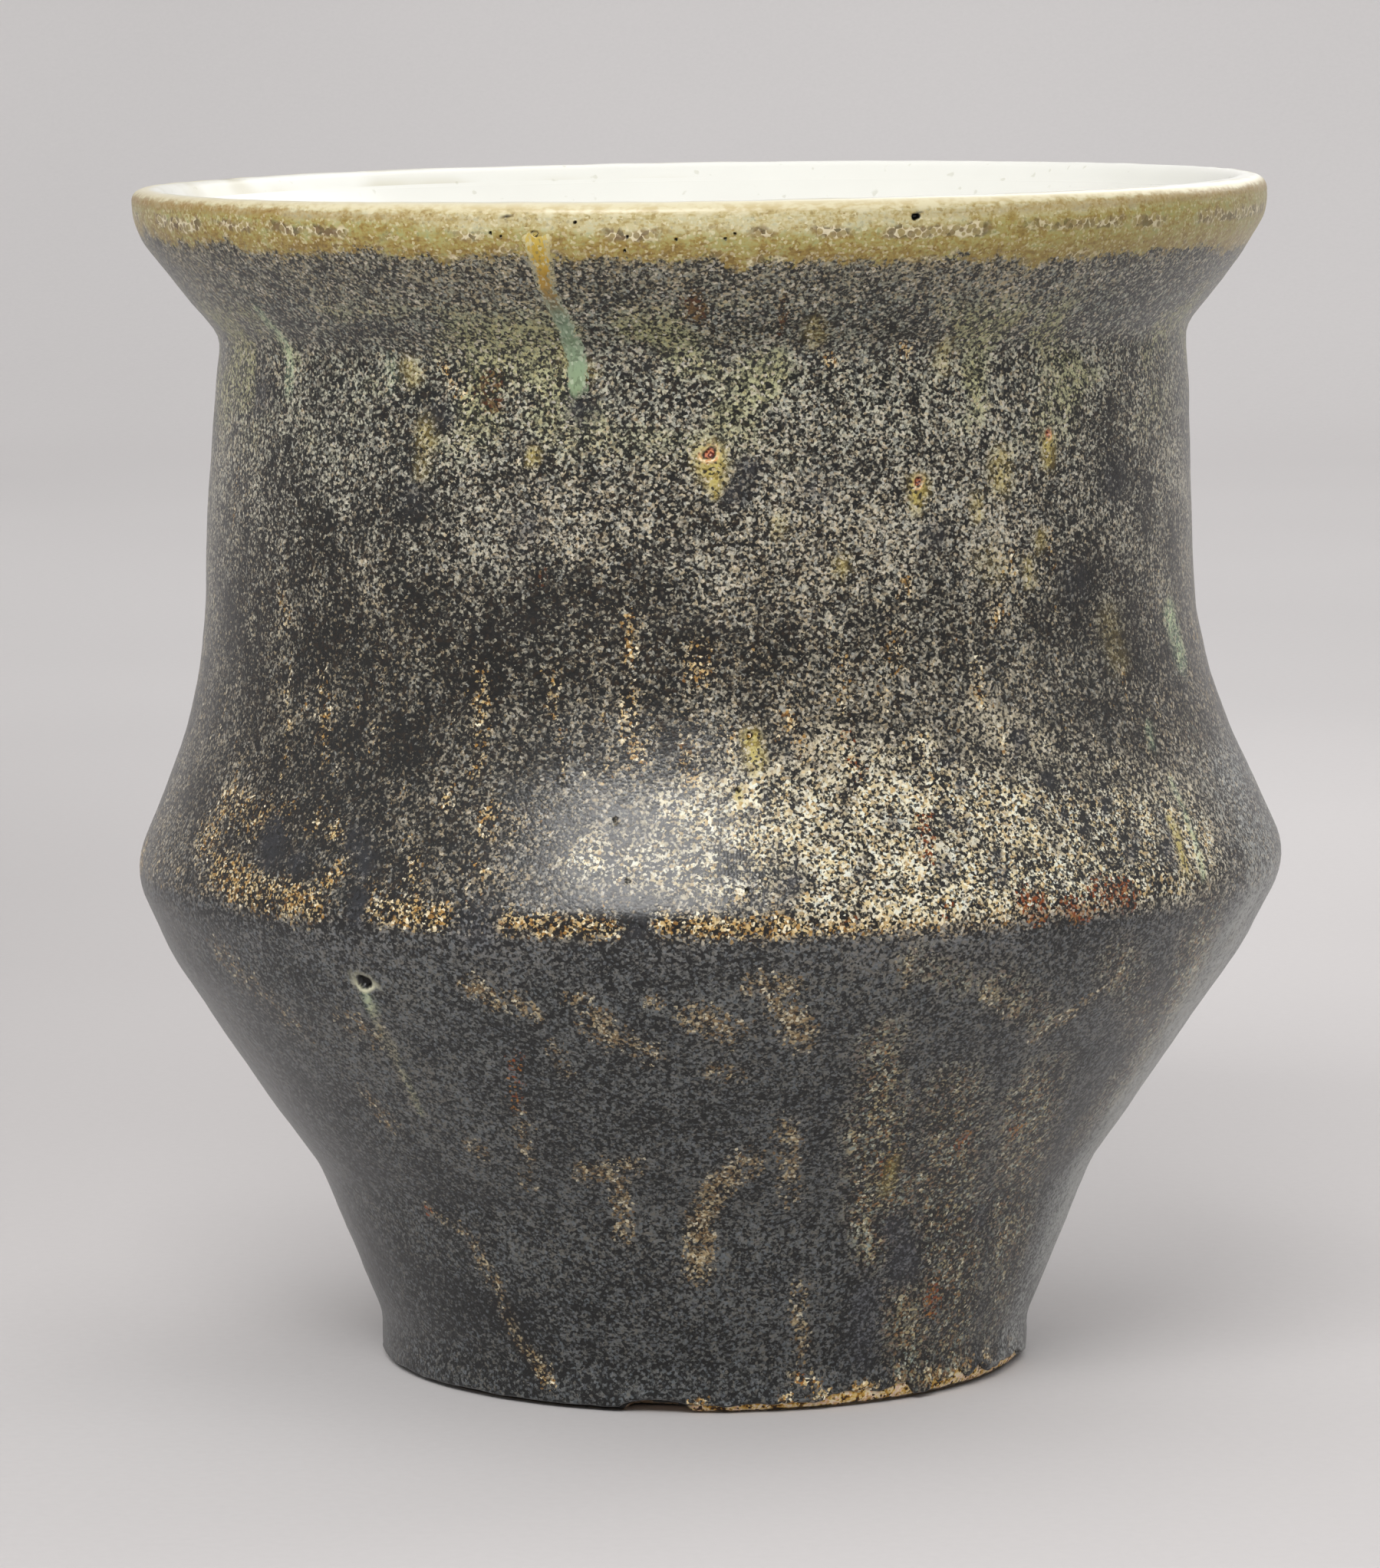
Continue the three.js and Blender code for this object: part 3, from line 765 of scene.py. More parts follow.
class Finish(Nodes):
    """A material's nodes, made by short calls."""

    def __init__(self, name):
        self.material = bpy.data.materials.new(name)
        super().__init__(self.material)
        self.shader = self.tree.nodes["Principled BSDF"]
        self.place = self.out(self.node("TexCoord"), "Object")

    def attribute(self, name):
        return self.out(self.node("Attribute", attribute_name=name), "Fac")

    def shifted(self, stretch, offset):
        """The place on the pot, drawn out up and down by a stretch and moved by an offset."""
        node = self.node("Mapping", {"Vector": self.place})
        node.inputs["Location"].default_value = (offset, offset, offset)
        node.inputs["Scale"].default_value = (1, 1, 1 / stretch)
        return self.out(node)

    def noise(self, size, detail=1.0, rough=0.55, stretch=1.0, offset=0.0):
        """Soft noise about 0, mostly between -0.25 and 0.25, with blotches of that size in mm."""
        place = self.shifted(stretch, offset)
        inputs = {"Vector": place, "Scale": 1 / (size * MM), "Detail": detail, "Roughness": rough}
        return self.out(self.node("TexNoise", inputs)) - 0.5

    def grains(self, size, stretch=1.0, offset=0.0):
        """Crisp grains of that size in mm: three random numbers, from 0 to 1, that each grain
        keeps all over, and the distance from its middle."""
        inputs = {"Vector": self.shifted(stretch, offset), "Scale": 1 / (size * MM)}
        node = self.node("TexVoronoi", inputs)
        parts = self.node("SeparateColor", {0: self.out(node, "Color")})
        return [self.out(parts, k) for k in range(3)] + [self.out(node, "Distance")]

    def step(self, value, low, high):
        """0 below low, 1 above high and smooth between."""
        inputs = {"Value": value, "From Min": low, "From Max": high}
        return self.out(self.node("MapRange", inputs, interpolation_type="SMOOTHSTEP"))

    def mix(self, share, a, b):
        return self.out(self.node("Mix", {0: share, 6: a, 7: b}, data_type="RGBA"), 2)

    def blend(self, share, a, b):
        """A number between two numbers."""
        return self.out(self.node("Mix", {0: share, 2: a, 3: b}, data_type="FLOAT"))

    def ramp(self, value, stops):
        """A colour that follows a value through its stops, which rise from 0 to 1."""
        node = self.node("ValToRGB", {0: value})
        ramp = node.color_ramp
        while len(ramp.elements) < len(stops):
            ramp.elements.new(1.0)
        for element, (position, colour) in zip(ramp.elements, stops):
            element.position = position
            element.color = colour if len(colour) == 4 else linear(*colour)
        return self.out(node)

    def finish(self, colour, roughness, height, depth, strength=1.0):
        """Joins colour, roughness and a bump of that depth in mm to the shader."""
        bump = self.node("Bump", {"Distance": depth * MM, "Strength": strength, "Height": height})
        surface = {"Base Color": colour, "Roughness": roughness, "Normal": self.out(bump)}
        self.fill(self.shader, surface)
        return self.material


def dark_coat(f):
    """The dark glaze: pale and dark grains, and the marks that break through it.
    Returns its colour, roughness and height."""
    level = f.attribute("level")
    patches = f.noise(8, 1, 0.5)
    slow = f.noise(26, 1, 0.5, offset=3.1)
    streaks = f.noise(1.8, 1, 0.5, stretch=6, offset=1.7)
    clumps = f.noise(1.5, 1, 0.5, offset=0.9)
    coarse, tint, kind, away = f.grains(0.38)
    fine, _, _, _ = f.grains(0.24, offset=5.0)
    speck, _, _, _ = f.grains(0.33, offset=11.0)
    pick = coarse * 0.6 + fine * 0.4

    share_up = f.math("DIVIDE", level + patches * 9, RIM_HEIGHT)

    def by_height(*stops):
        return f.ramp(share_up, [(h / RIM_HEIGHT, c) for h, c in stops])

    dark = by_height(
        (0, (17, 18, 18)), (58, (18, 19, 19)), (66, (18, 18, 18)), (76, (16, 15, 13)),
        (100, (16, 15, 12)), (134, (14, 15, 11)), (139, (28, 29, 27)), (147, (36, 34, 28)),
    )
    light = by_height(
        (0, (97, 98, 96)), (58, (106, 107, 104)), (65, (112, 111, 108)), (72, (144, 137, 122)),
        (90, (150, 143, 126)), (102, (174, 168, 149)), (116, (197, 192, 173)), (133, (188, 186, 165)),
        (139, (150, 153, 138)), (147, (147, 143, 121)),
    )
    density = by_height(*((h, (d, d, d, 1)) for h, d in (
        (0, 0.425), (62, 0.43), (68, 0.34), (90, 0.31), (104, 0.34), (118, 0.385), (134, 0.38),
        (147, 0.44),
    )))

    broken = 1.0 + clumps * 1.6 + streaks * 1.4

    def mark(name):
        return f.math("MULTIPLY", f.attribute(name), broken, clamp=True)

    gold, cream, streaky, rust, mint, spots = (
        mark(name) for name in ("gold", "cream", "streaky", "rust", "mint", "spots")
    )
    loose = f.step(streaks, 0.08, 0.26) * f.step(level, 112, 92) * f.step(level, 64, 70) * 0.4
    gold = f.math("MAXIMUM", gold, loose)
    uneven = 1.1 + (tint - 0.5) * 0.5
    straw = f.math("MULTIPLY", f.attribute("straw"), uneven, clamp=True)
    upper = f.step(f.attribute("shoulder"), -0.4, 0.9)
    foot = f.step(level, 5.5, 3.5)
    vivid = f.math("MAXIMUM", upper, foot)

    def among(mask):
        """Picks that share of the grains, and a few more."""
        return f.step(mask * 1.15 - kind, 0.0, 0.07)

    warm = f.step(tint + slow * 0.8, 0.6, 0.95) * 0.5
    cool = f.step(tint, 0.35, 0.05) * 0.5
    light = f.mix(warm, light, f.mix(upper, (102, 95, 82), (186, 160, 114)))
    light = f.mix(cool, light, f.mix(upper, (80, 90, 98), (138, 144, 146)))
    dark = f.mix(f.step(kind, 0.6, 1.0) * upper * 0.5, dark, (52, 36, 18))
    tinge = f.step(level, 119, 130) * f.step(level, 143, 138) * 0.55
    tinge = f.step(slow + patches, -0.02, 0.16) * tinge
    light = f.mix(tinge, light, (172, 170, 110))
    dark = f.mix(tinge * 0.5, dark, (44, 46, 22))

    gold_bright = f.ramp(tint, [
        (0.0, (104, 68, 26)), (0.3, (170, 128, 62)), (0.6, (208, 182, 128)),
        (1.0, (250, 240, 212)),
    ])
    gold_dim = f.ramp(tint, [
        (0.0, (96, 72, 44)), (0.4, (140, 118, 84)), (0.7, (178, 163, 130)),
        (1.0, (212, 203, 178)),
    ])
    light = f.mix(among(gold), light, f.mix(vivid, gold_dim, gold_bright))
    dark = f.mix(gold, dark, (20, 12, 5))
    streak_light = f.ramp(tint + streaks * 0.6, [
        (0.0, (112, 82, 46)), (0.22, (156, 120, 76)), (0.4, (96, 108, 104)),
        (0.55, (150, 142, 110)), (0.7, (198, 180, 134)), (0.85, (140, 156, 148)),
        (1.0, (224, 216, 188)),
    ])
    light = f.mix(streaky, light, streak_light)
    dark = f.mix(streaky * 0.8, dark, (30, 24, 17))
    cream_light = f.ramp(tint, [
        (0.0, (178, 144, 88)), (0.3, (218, 200, 154)), (0.7, (240, 232, 206)),
        (1.0, (216, 220, 208)),
    ])
    light = f.mix(cream, light, f.mix(upper, gold_dim, cream_light))
    dark = f.mix(cream * upper, dark, (15, 10, 6))
    on_neck = f.step(level, 95, 105)
    rusty_light = f.mix(on_neck, (160, 108, 44), (112, 88, 50))
    light = f.mix(among(rust) * (1.0 - cream), light, rusty_light)
    rusty = f.mix(on_neck, (126, 58, 2), (74, 38, 9))
    rusty = f.mix(f.step(kind, 0.3, 0.4), (24, 11, 4), rusty)
    dark = f.mix(f.step(rust * 0.9 - tint, 0.0, 0.1), dark, rusty)
    dark = f.mix(mint, dark, (92, 112, 92))
    light = f.mix(mint, light, (188, 200, 160))
    dark = f.mix(straw, dark, (126, 108, 46))
    light = f.mix(straw, light, (188, 172, 98))
    # Painted sheen on the pot's right side: the grains turn pale grey and a little denser.
    painted_sheen = f.math("MULTIPLY", f.attribute("painted_sheen"), 1.0 + streaks * 1.5, clamp=True)
    light = f.mix(painted_sheen, light, (158, 160, 156))
    dark = f.mix(spots * 0.8, dark, (42, 43, 47))
    light = f.mix(spots * 0.85, light, (98, 99, 104))

    density = (
        density + f.attribute("tone") + clumps * 0.28 + patches * 0.4 + slow * 0.25
        + streaks * 0.22 + gold * 0.14 + cream * 0.17 + straw * 0.2 - spots * 0.14
        + mint * 0.25 + painted_sheen * 0.06 - streaky * 0.02 - rust * cream * 0.22
    )
    bright = f.math("MAXIMUM", gold, cream)
    crisp = bright * upper * 2.6 + f.blend(upper, 3.4, 2.35)
    lit = (density - pick) * crisp + 0.5
    share = f.math("MAXIMUM", f.math("MINIMUM", lit, 1.0), 0.0)
    colour = f.mix(share, dark, light)
    pale_dot = f.mix(tint, (178, 156, 116), (228, 224, 212))
    pale_dot = f.mix(gold, f.mix(upper, (122, 126, 130), pale_dot), (214, 186, 130))
    where_pale = f.step(density, 0.16, 0.42) * 0.6
    pale_share = f.step(speck, 0.13, 0.08) * f.blend(upper, 0.35, where_pale)
    colour = f.mix(pale_share, colour, pale_dot)
    gap = f.step(speck + bright * 0.07, 0.85, 0.89)
    colour = f.mix(gap * f.blend(upper, 0.5, 0.9), colour, NEARLY_BLACK)
    ring_light = f.mix(f.step(fine, 0.3, 0.7), (222, 158, 100), (246, 222, 176))
    ring_light = f.mix(upper, (206, 203, 174), ring_light)
    colour = f.mix(f.attribute("halo"), colour, ring_light)
    # Painted shade: near black down in the pits.
    colour = f.mix(f.attribute("pit"), colour, NEARLY_BLACK)
    inside = f.mix(f.step(fine, 0.5, 0.62), (222, 142, 104), (92, 30, 14))
    colour = f.mix(f.attribute("bare"), colour, inside)
    height = share * 0.8 - away * 0.5 + clumps * 0.8 + fine * 0.5
    return colour, f.blend(share, 0.28, 0.35), height


def band_coat(f):
    """The ochre band under the lip, and the ivory edge that the liner gives it."""
    lip = f.attribute("lip")
    level = f.attribute("level")
    aside = 1.0 - f.attribute("front")
    mottle = f.noise(2.4, 2, 0.6, offset=4.2)
    streaks = f.noise(1.4, 2, 0.6, stretch=0.35, offset=2.6)
    patches = f.noise(9, 1, 0.5, offset=5.3)
    pick, tint, _, away = f.grains(0.32, offset=6.1)
    _, blister_tint, _, from_middle = f.grains(0.7, offset=7.3)
    tone = mottle * 0.26 + streaks * 0.3 + (tint - 0.5) * 0.1 + 0.5
    low_edge = f.step(f.attribute("band"), 3.0, 0.9) * -0.05
    ochre = f.ramp(tone + low_edge, [
        (0.36, (124, 98, 44)), (0.44, (152, 127, 62)), (0.51, (166, 153, 89)),
        (0.58, (164, 161, 105)), (0.66, (142, 151, 108)),
    ])
    upper = f.ramp(tone, [
        (0.36, (150, 127, 76)), (0.44, (178, 161, 107)), (0.51, (198, 187, 143)),
        (0.58, (198, 193, 158)), (0.66, (170, 172, 142)),
    ])
    sideways = f.out(f.node("SeparateXYZ", {0: f.place}))
    from_left = f.step(sideways, -0.06, -0.03)
    row = level + mottle * 2.0 + patches * 2.0 + from_left * 0.7 - 0.7
    colour = f.mix(f.step(row - aside * 2.4, 149.4, 151.2), ochre, upper)
    colour = f.mix(f.step(pick, 0.86, 0.97) * 0.3, colour, (92, 74, 42))
    colour = f.mix(f.step(pick, 0.2, 0.05) * 0.4, colour, (234, 224, 190))
    on_row = f.step(row, 149.3, 149.9) * f.step(row, 151.3, 150.7) * f.step(patches, -0.06, 0.06)
    on_edge = f.step(f.attribute("band"), -0.9, -0.1) * f.step(f.attribute("band"), 1.6, 0.5)
    on_edge = on_edge * f.step(mottle - patches * 0.6, 0.05, 0.14)
    inside = f.ramp(blister_tint, [
        (0.0, (62, 48, 34)), (0.35, (112, 90, 70)), (0.7, (152, 134, 94)),
        (1.0, (170, 154, 104)),
    ])
    outline = f.step(from_middle, 0.5, 0.64) * f.step(blister_tint + mottle, 0.3, 0.5)
    outlined = f.mix(outline, inside, (232, 220, 190))
    gritty = f.math("MAXIMUM", on_row * 0.75, on_edge * 0.55)
    colour = f.mix(gritty, colour, outlined)
    on_right = f.step(sideways, 0.01, 0.05) * 0.2
    colour = f.mix(on_right, colour, (158, 142, 66))
    edge = lip + mottle * 1.6 + streaks * 1.2 - aside * 1.1
    seam = f.step(edge, -1.1, -0.5) * f.step(edge, 0.5, 0.0) * aside * 0.5
    colour = f.mix(seam, colour, (146, 108, 54))
    pale = f.step(mottle + streaks, -0.16, 0.16)
    ivory = f.mix(pale, (194, 176, 128), (214, 204, 168))
    colour = f.mix(f.step(edge, 0.0, 0.9), colour, ivory)
    # Painted shade: near black down in the pits.
    colour = f.mix(f.attribute("pit"), colour, NEARLY_BLACK)
    grit = pick * (gritty * 1.2 + 0.25)
    return colour, 0.3, grit - away * 0.3 + mottle * 0.8


def whole_coat(f):
    """The dark glaze and the band, with the band's ragged edge between them."""
    colour, roughness, height = dark_coat(f)
    band_colour, band_roughness, band_height = band_coat(f)
    pick, _, _, _ = f.grains(0.4, offset=8.2)
    ragged = f.noise(1.5, 2, 0.6, offset=7.7) * 2.4 + (pick - 0.5) * 0.9
    band = f.step(ragged + f.attribute("band"), -0.45, 0.45)
    colour = f.mix(band, colour, band_colour)
    return colour, f.blend(band, roughness, band_roughness), f.blend(band, height, band_height)


def glaze_finish(name, coat):
    f = Finish(name)
    f.shader.inputs["IOR"].default_value = GLAZE_IOR
    return f.finish(*coat(f), 0.05, 0.7)


def liner_coat(f):
    """The white liner, warmer and freckled where it thins over the lip."""
    lip = f.attribute("lip")
    clouds = f.noise(14, 2, 0.5, offset=8.8) + 0.5
    freckles = f.step(f.noise(1.5, 1, 0.5, offset=9.4), 0.2, 0.27)
    white = f.mix(clouds, (226, 225, 217), (234, 233, 226))
    white = f.mix(freckles * 0.4, white, (188, 186, 166))
    warm = f.step(lip, 3.2, 1.3)
    white = f.mix(warm, white, (216, 206, 174))
    rim_line = f.step(lip, 2.0, 2.7) * f.step(lip, 4.0, 3.1) * f.step(clouds, 0.38, 0.6) * 0.5
    return f.mix(rim_line, white, (176, 166, 128))


def inner_glaze_finish():
    f = Finish("white_glaze")
    band_colour, _, _ = band_coat(f)
    white = liner_coat(f)
    lip = f.attribute("lip")
    colour = f.mix(f.step(lip, 0.9, 2.2), band_colour, white)
    roughness = f.blend(f.step(lip, 4, 12), 0.34, 0.2)
    return f.finish(colour, roughness, f.noise(3, 2, 0.5, offset=1.3), 0.03, 0.4)


def run_finish():
    """The run: a yellow core at its head and celadon below, sinking into the glaze at its sides."""
    f = Finish("run_glaze")
    around_colour, _, height = whole_coat(f)
    along = f.attribute("along")
    across = f.attribute("across")
    streaks = f.noise(0.7, 2, 0.6, stretch=7, offset=2.2)
    pick, _, _, _ = f.grains(0.3, stretch=1.6, offset=3.4)
    core = f.ramp(along + streaks * 0.16, [
        (0.0, (198, 180, 110)), (0.1, (190, 160, 60)), (0.28, (168, 130, 42)),
        (0.42, (120, 104, 74)), (0.52, (108, 124, 102)), (0.75, (136, 156, 124)),
        (1.0, (134, 152, 116)),
    ])
    core = f.mix(f.step(pick, 0.66, 0.9) * 0.45, core, (76, 84, 66))
    core = f.mix(f.step(pick, 0.24, 0.05) * 0.4, core, (206, 212, 188))
    pale = f.ramp(along, [
        (0.0, (206, 196, 156)), (0.3, (158, 166, 144)), (1.0, (136, 152, 124)),
    ])
    side = across + streaks * 1.1 + (pick - 0.5) * 0.4
    colour = f.mix(f.step(side, 0.4, 0.7) * 0.6, core, pale)
    colour = f.mix(f.step(side, 0.56, 1.0), colour, around_colour)
    colour = f.mix(f.step(along + streaks * 0.1, 0.92, 1.0), colour, around_colour)
    colour = f.mix(f.step(along, 0.05, 0.0), colour, around_colour)
    return f.finish(colour, 0.26, streaks + height * 0.3, 0.03, 0.4)


def clay_finish():
    """Bare clay: pink and cream with gold where glaze ran thin. Near black is painted shadow: in
    the chip, along the foot's outer edge on the left and at the back, and in a thin line of painted
    contact shadow where the foot meets the floor.
    """
    f = Finish("bare_clay")
    level = f.attribute("level")
    pick, tint, _, _ = f.grains(0.36, offset=2.0)
    stain = f.noise(2.0, 2, 0.6, offset=3.3)
    grit = f.noise(0.5, 2, 0.6)
    clay = f.ramp(stain * 1.5 + (tint - 0.5) * 0.3 + 0.5, [
        (0.24, (60, 38, 20)), (0.34, (190, 140, 50)), (0.44, (226, 196, 122)),
        (0.54, (238, 222, 192)), (0.62, (228, 190, 166)), (0.74, (206, 166, 84)),
        (0.82, (84, 54, 26)),
    ])
    under = f.ramp(stain + 0.5, [
        (0.3, (196, 168, 138)), (0.5, (214, 192, 168)), (0.7, (206, 176, 148)),
    ])
    clay = f.mix(f.attribute("beneath"), clay, under)
    clay = f.mix(f.step(pick, 0.86, 0.94), clay, (58, 40, 26))
    # Painted contact shadow: a thin dark line round the foot's outer bottom edge, where it meets the
    # floor.
    line = f.step(level + stain * 0.8, 0.42, 0.2)
    line = line * f.step(f.attribute("beneath"), 0.5, 0.0) * 0.9
    clay = f.mix(line, clay, (26, 20, 14))
    # Painted shadow: near black in the chip and along the foot's outer edge.
    clay = f.mix(f.attribute("painted_foot_shadow"), clay, (20, 17, 14))
    return f.finish(clay, 0.8, grit + pick * 0.2, 0.08, 0.7)


def run_mesh():
    """A ribbon that stands off the glaze, with its edges sunk in it and a round end."""
    line = np.array(RUN_LINE, float)
    steps = 150
    across_steps = 20
    sideways = np.radians(np.diff(line[:, 0])) * RUN_RADIUS
    along = np.r_[0, np.cumsum(np.hypot(np.diff(line[:, 1]), sideways))]
    total = along[-1]
    t = np.linspace(0, total, steps + 1)
    centre = np.interp(t, along, line[:, 0])
    height = np.interp(t, along, line[:, 1])
    kernel = np.ones(9) / 9
    centre[4:-4] = np.convolve(centre, kernel, "valid")
    flare = 1 + 0.45 * (1 - smooth(0, 6, t)) - 0.15 * np.exp(-((t - 11) / 4) ** 2)
    from_end = np.clip((total - t) / RUN_HALF_WIDTH, 0, 1)
    end_round = np.sqrt(np.clip(1 - (1 - from_end) ** 2, 0, 1))
    half = RUN_HALF_WIDTH * flare * np.maximum(end_round, 0.02)
    fade = smooth(0, 2.5, t)
    share = np.linspace(-1, 1, across_steps + 1)
    t_grid, a_grid = np.meshgrid(t, share, indexing="ij")
    half_grid = np.interp(t_grid, t, half)
    bearing = np.interp(t_grid, t, centre)
    level = np.interp(t_grid, t, height)
    slope = RING_SLOPE * RUN_RADIUS * np.sin(np.radians(bearing))
    wall_along = POT.at_height(level - slope, RIM_ALONG)
    radius, _ = POT.place(wall_along, 0)
    bearing = bearing + np.degrees(a_grid * half_grid / radius)
    dome = RUN_RELIEF * (1 - a_grid ** 4) * np.interp(t_grid, t, fade)
    bearing = bearing.ravel()
    wall_along = wall_along.ravel()
    base = askew(bearing, *POT.place(wall_along, 0))
    ripple = 1 + 0.2 * waves(base, 3, 71)
    edge_depth = 0.08
    back_depth = 0.35
    stand = glaze_relief(base) - edge_depth + dome.ravel() * ripple
    top = askew(bearing, *POT.place(wall_along, stand))
    bottom = askew(bearing, *POT.place(wall_along, -back_depth + 0 * wall_along))
    grid = bmesh.new()
    sheets = []
    width = across_steps + 1
    for sheet in (top, bottom):
        verts = [grid.verts.new(Vector(p) * MM) for p in sheet]
        sheets.append([verts[i * width:(i + 1) * width] for i in range(steps + 1)])
    for net in sheets:
        for i in range(steps):
            for k in range(across_steps):
                grid.faces.new((net[i][k], net[i][k + 1], net[i + 1][k + 1], net[i + 1][k]))
    bmesh.ops.bridge_loops(grid, edges=[e for e in grid.edges if e.is_boundary])
    bmesh.ops.recalc_face_normals(grid, faces=grid.faces)
    mesh = finished_mesh(grid, "glaze_run", sharp_angle=60)
    paint_glaze(mesh)
    paint(mesh, "along", np.tile(t_grid.ravel() / total, 2))
    paint(mesh, "across", np.tile(np.abs(a_grid).ravel(), 2))
    return mesh


def make_outer_glaze():
    top = POT.at_height(BAND_LINE, RIM_ALONG)
    fringe = 4.0

    def low(bearing):
        return POT.at_height(foot_line(bearing), RIM_ALONG)

    def high(bearing):
        return top + 0 * bearing

    rows = coat_rows(top, ROW_SPACING, COAT_BACK, roll=0.8)
    mesh = shell_mesh(
        "outer_glaze_coat", POT, COLUMNS, rows, low, high, glaze_relief,
        refine=[(0.8, [c for c in CRATERS if c[1] < 146])],
    )
    paint_glaze(mesh)
    finish = glaze_finish("dark_glaze", dark_coat)
    piece = new_piece("outer_glaze_coat", mesh, "outer_glaze", finish)
    mesh.materials.append(glaze_finish("dark_and_band_glaze", whole_coat))
    centres = np.zeros(3 * len(mesh.polygons))
    mesh.polygons.foreach_get("center", centres)
    near_band = centres.reshape(-1, 3)[:, 2] / MM > BAND_LINE - fringe
    mesh.polygons.foreach_set("material_index", near_band.astype(np.int32))
    return piece


def make_rim_glaze():
    bottom = POT.at_height(BAND_LINE, RIM_ALONG)
    top = POT.at_height(LINER_LINE, RIM_ALONG)
    rows = coat_rows(top - bottom, RIM_ROW_SPACING, COAT_BACK)
    mesh = shell_mesh(
        "rim_glaze_band", POT, RIM_COLUMNS, rows, lambda b: bottom + 0 * b, lambda b: top + 0 * b,
        rim_relief, refine=[(0.35, [c for c in CRATERS if c[1] > 146])], cuts=2,
    )
    paint_glaze(mesh)
    finish = glaze_finish("dark_and_band_glaze", whole_coat)
    return new_piece("rim_glaze_band", mesh, "rim_glaze", finish)


def make_liner():
    start = POT.at_height(LINER_LINE, RIM_ALONG)
    length = POT.length - start
    fine_end = 8.0
    face = [start + k * 0.35 for k in range(int(fine_end / 0.35))]
    face += list(np.linspace(start + fine_end, POT.length, 120))
    rows = [((a - start) / length, 0) for a in face]
    rows += [(share, LINER_BACK) for share in np.linspace(1, 0, 60)]

    def relief(points):
        radius = np.hypot(points[:, 0], points[:, 1])
        inside = smooth(0, 6, LIP_RADIUS - radius)
        rings = throwing_relief(points) * (1 + inside) - SUNK
        return (rings + 0.03 * waves(points, 7, 81)) * smooth(0, 8, radius)

    mesh = shell_mesh(
        "inner_glaze_liner", POT, COLUMNS, rows, lambda b: start + 0 * b,
        lambda b: POT.length + 0 * b, relief,
    )
    paint_glaze(mesh, lined=True)
    return new_piece("inner_glaze_liner", mesh, "inner_glaze", inner_glaze_finish())


def make_clay():
    """The clay from the axis underneath, round the foot, up under the glaze and down inside."""
    outer = sunk(OUTSIDE, CLAY_DEPTH)[1:]
    outer[0] = (FOOT_RADIUS - CLAY_DEPTH, 0, 2.0)
    wall = Wall(rounded(UNDERSIDE + outer + sunk(INSIDE, CLAY_DEPTH)))
    foot_end = wall.along[np.argmax((wall.height > 4) & (wall.radius > RING_INNER_RADIUS + 3))]
    face = list(np.linspace(0, foot_end, 105)) + list(np.linspace(foot_end, wall.length, 95))[1:]
    rows = [(a / wall.length, 0) for a in face]

    def relief(points):
        radius = np.hypot(points[:, 0], points[:, 1])
        turned = 0.06 * np.sin(2 * math.pi * radius / 2.2) * (points[:, 2] > 1) * (radius < 36)
        standing = smooth(0.05, 0.6, points[:, 2])
        grit = 0.03 * waves(points, 1.5, 91)
        foot = points[:, 2] < 5
        return (turned + grit * standing + chip_relief(points)) * foot

    mesh = shell_mesh(
        "clay_body_fired", wall, 400, rows, lambda b: 0 * b, lambda b: wall.length + 0 * b, relief,
        refine=[(5.5, [(CHIP_BEARING, 0.8, 0)])], cuts=1,
    )
    points = points_of(mesh)
    bearing = bearing_of(points)
    radius = np.hypot(points[:, 0], points[:, 1])
    paint(mesh, "level", points[:, 2] - RING_SLOPE * points[:, 0])
    # Painted shadow: near black in the chip's notch and along the foot's outer edge, all round but for
    # the front right.
    across = np.radians(wrapped(bearing - CHIP_BEARING)) * FOOT_RADIUS / (CHIP_HALF_WIDTH + 0.3)
    up = points[:, 2] / (CHIP_HEIGHT + 0.3)
    chip = 1 - smooth(0.75, 1.0, np.hypot(across, up))
    left = 1 - smooth(-3.2, -2.2, bearing) + smooth(84, 92, bearing) * (0.5 + waves(points, 12, 95))
    outside = smooth(FOOT_RADIUS - 2.6, FOOT_RADIUS - 1.6, radius)
    paint(mesh, "painted_foot_shadow", np.clip(np.maximum(chip, left), 0, 1) * outside)
    paint(mesh, "beneath", 1 - outside)
    return new_piece("clay_body_fired", mesh, "clay_body", clay_finish())


def make_run():
    return new_piece("glaze_run", run_mesh(), "rim_glaze", run_finish())


def stage_finish(name, floor_colour, wall_colour):
    """Matt paper with the faintest grain, paler the further back it lies: painted light. Far behind
    the vase, where the lamps don't reach, it also glows a little, seen only by the camera and in
    reflections: painted light."""
    f = Finish(name)
    grain = f.noise(1.5, 2, 0.5)
    wide = f.noise(180, 1, 0.5)
    # Painted light: paler the further back the paper lies.
    shade = f.mix(f.attribute("rise"), floor_colour, wall_colour)
    # Painted shade: darker towards the left.
    shade = f.mix(f.attribute("painted_left_shade") * 0.08, shade, (60, 58, 58))
    # Painted shade: darker behind and to the right of the vase.
    shade = f.mix(f.attribute("painted_shade_pool"), shade, (60, 58, 58))
    # Painted light: paler beside the foot, where the vase's shadow falls.
    shade = f.mix(f.attribute("painted_light_patch"), shade, (240, 237, 236))
    shade = f.mix(grain * 0.1 + wide * 0.12 + 0.06, shade, (150, 146, 146))
    f.shader.inputs["Specular IOR Level"].default_value = 0.1
    rays = f.node("LightPath")
    seen = f.math("MAXIMUM", f.out(rays, "Is Camera Ray"), f.out(rays, "Is Glossy Ray"))
    seen = f.math("MAXIMUM", seen, f.out(rays, "Is Transmission Ray"))
    f.shader.inputs["Emission Color"].default_value = (1, 0.985, 0.98, 1)
    # Painted light: the far paper glows, for the camera and in reflections only.
    f.fill(f.shader, {"Emission Strength": f.attribute("rise") * seen * 0.14})
    return f.finish(shade, 0.9, grain, 0.05, 0.1)


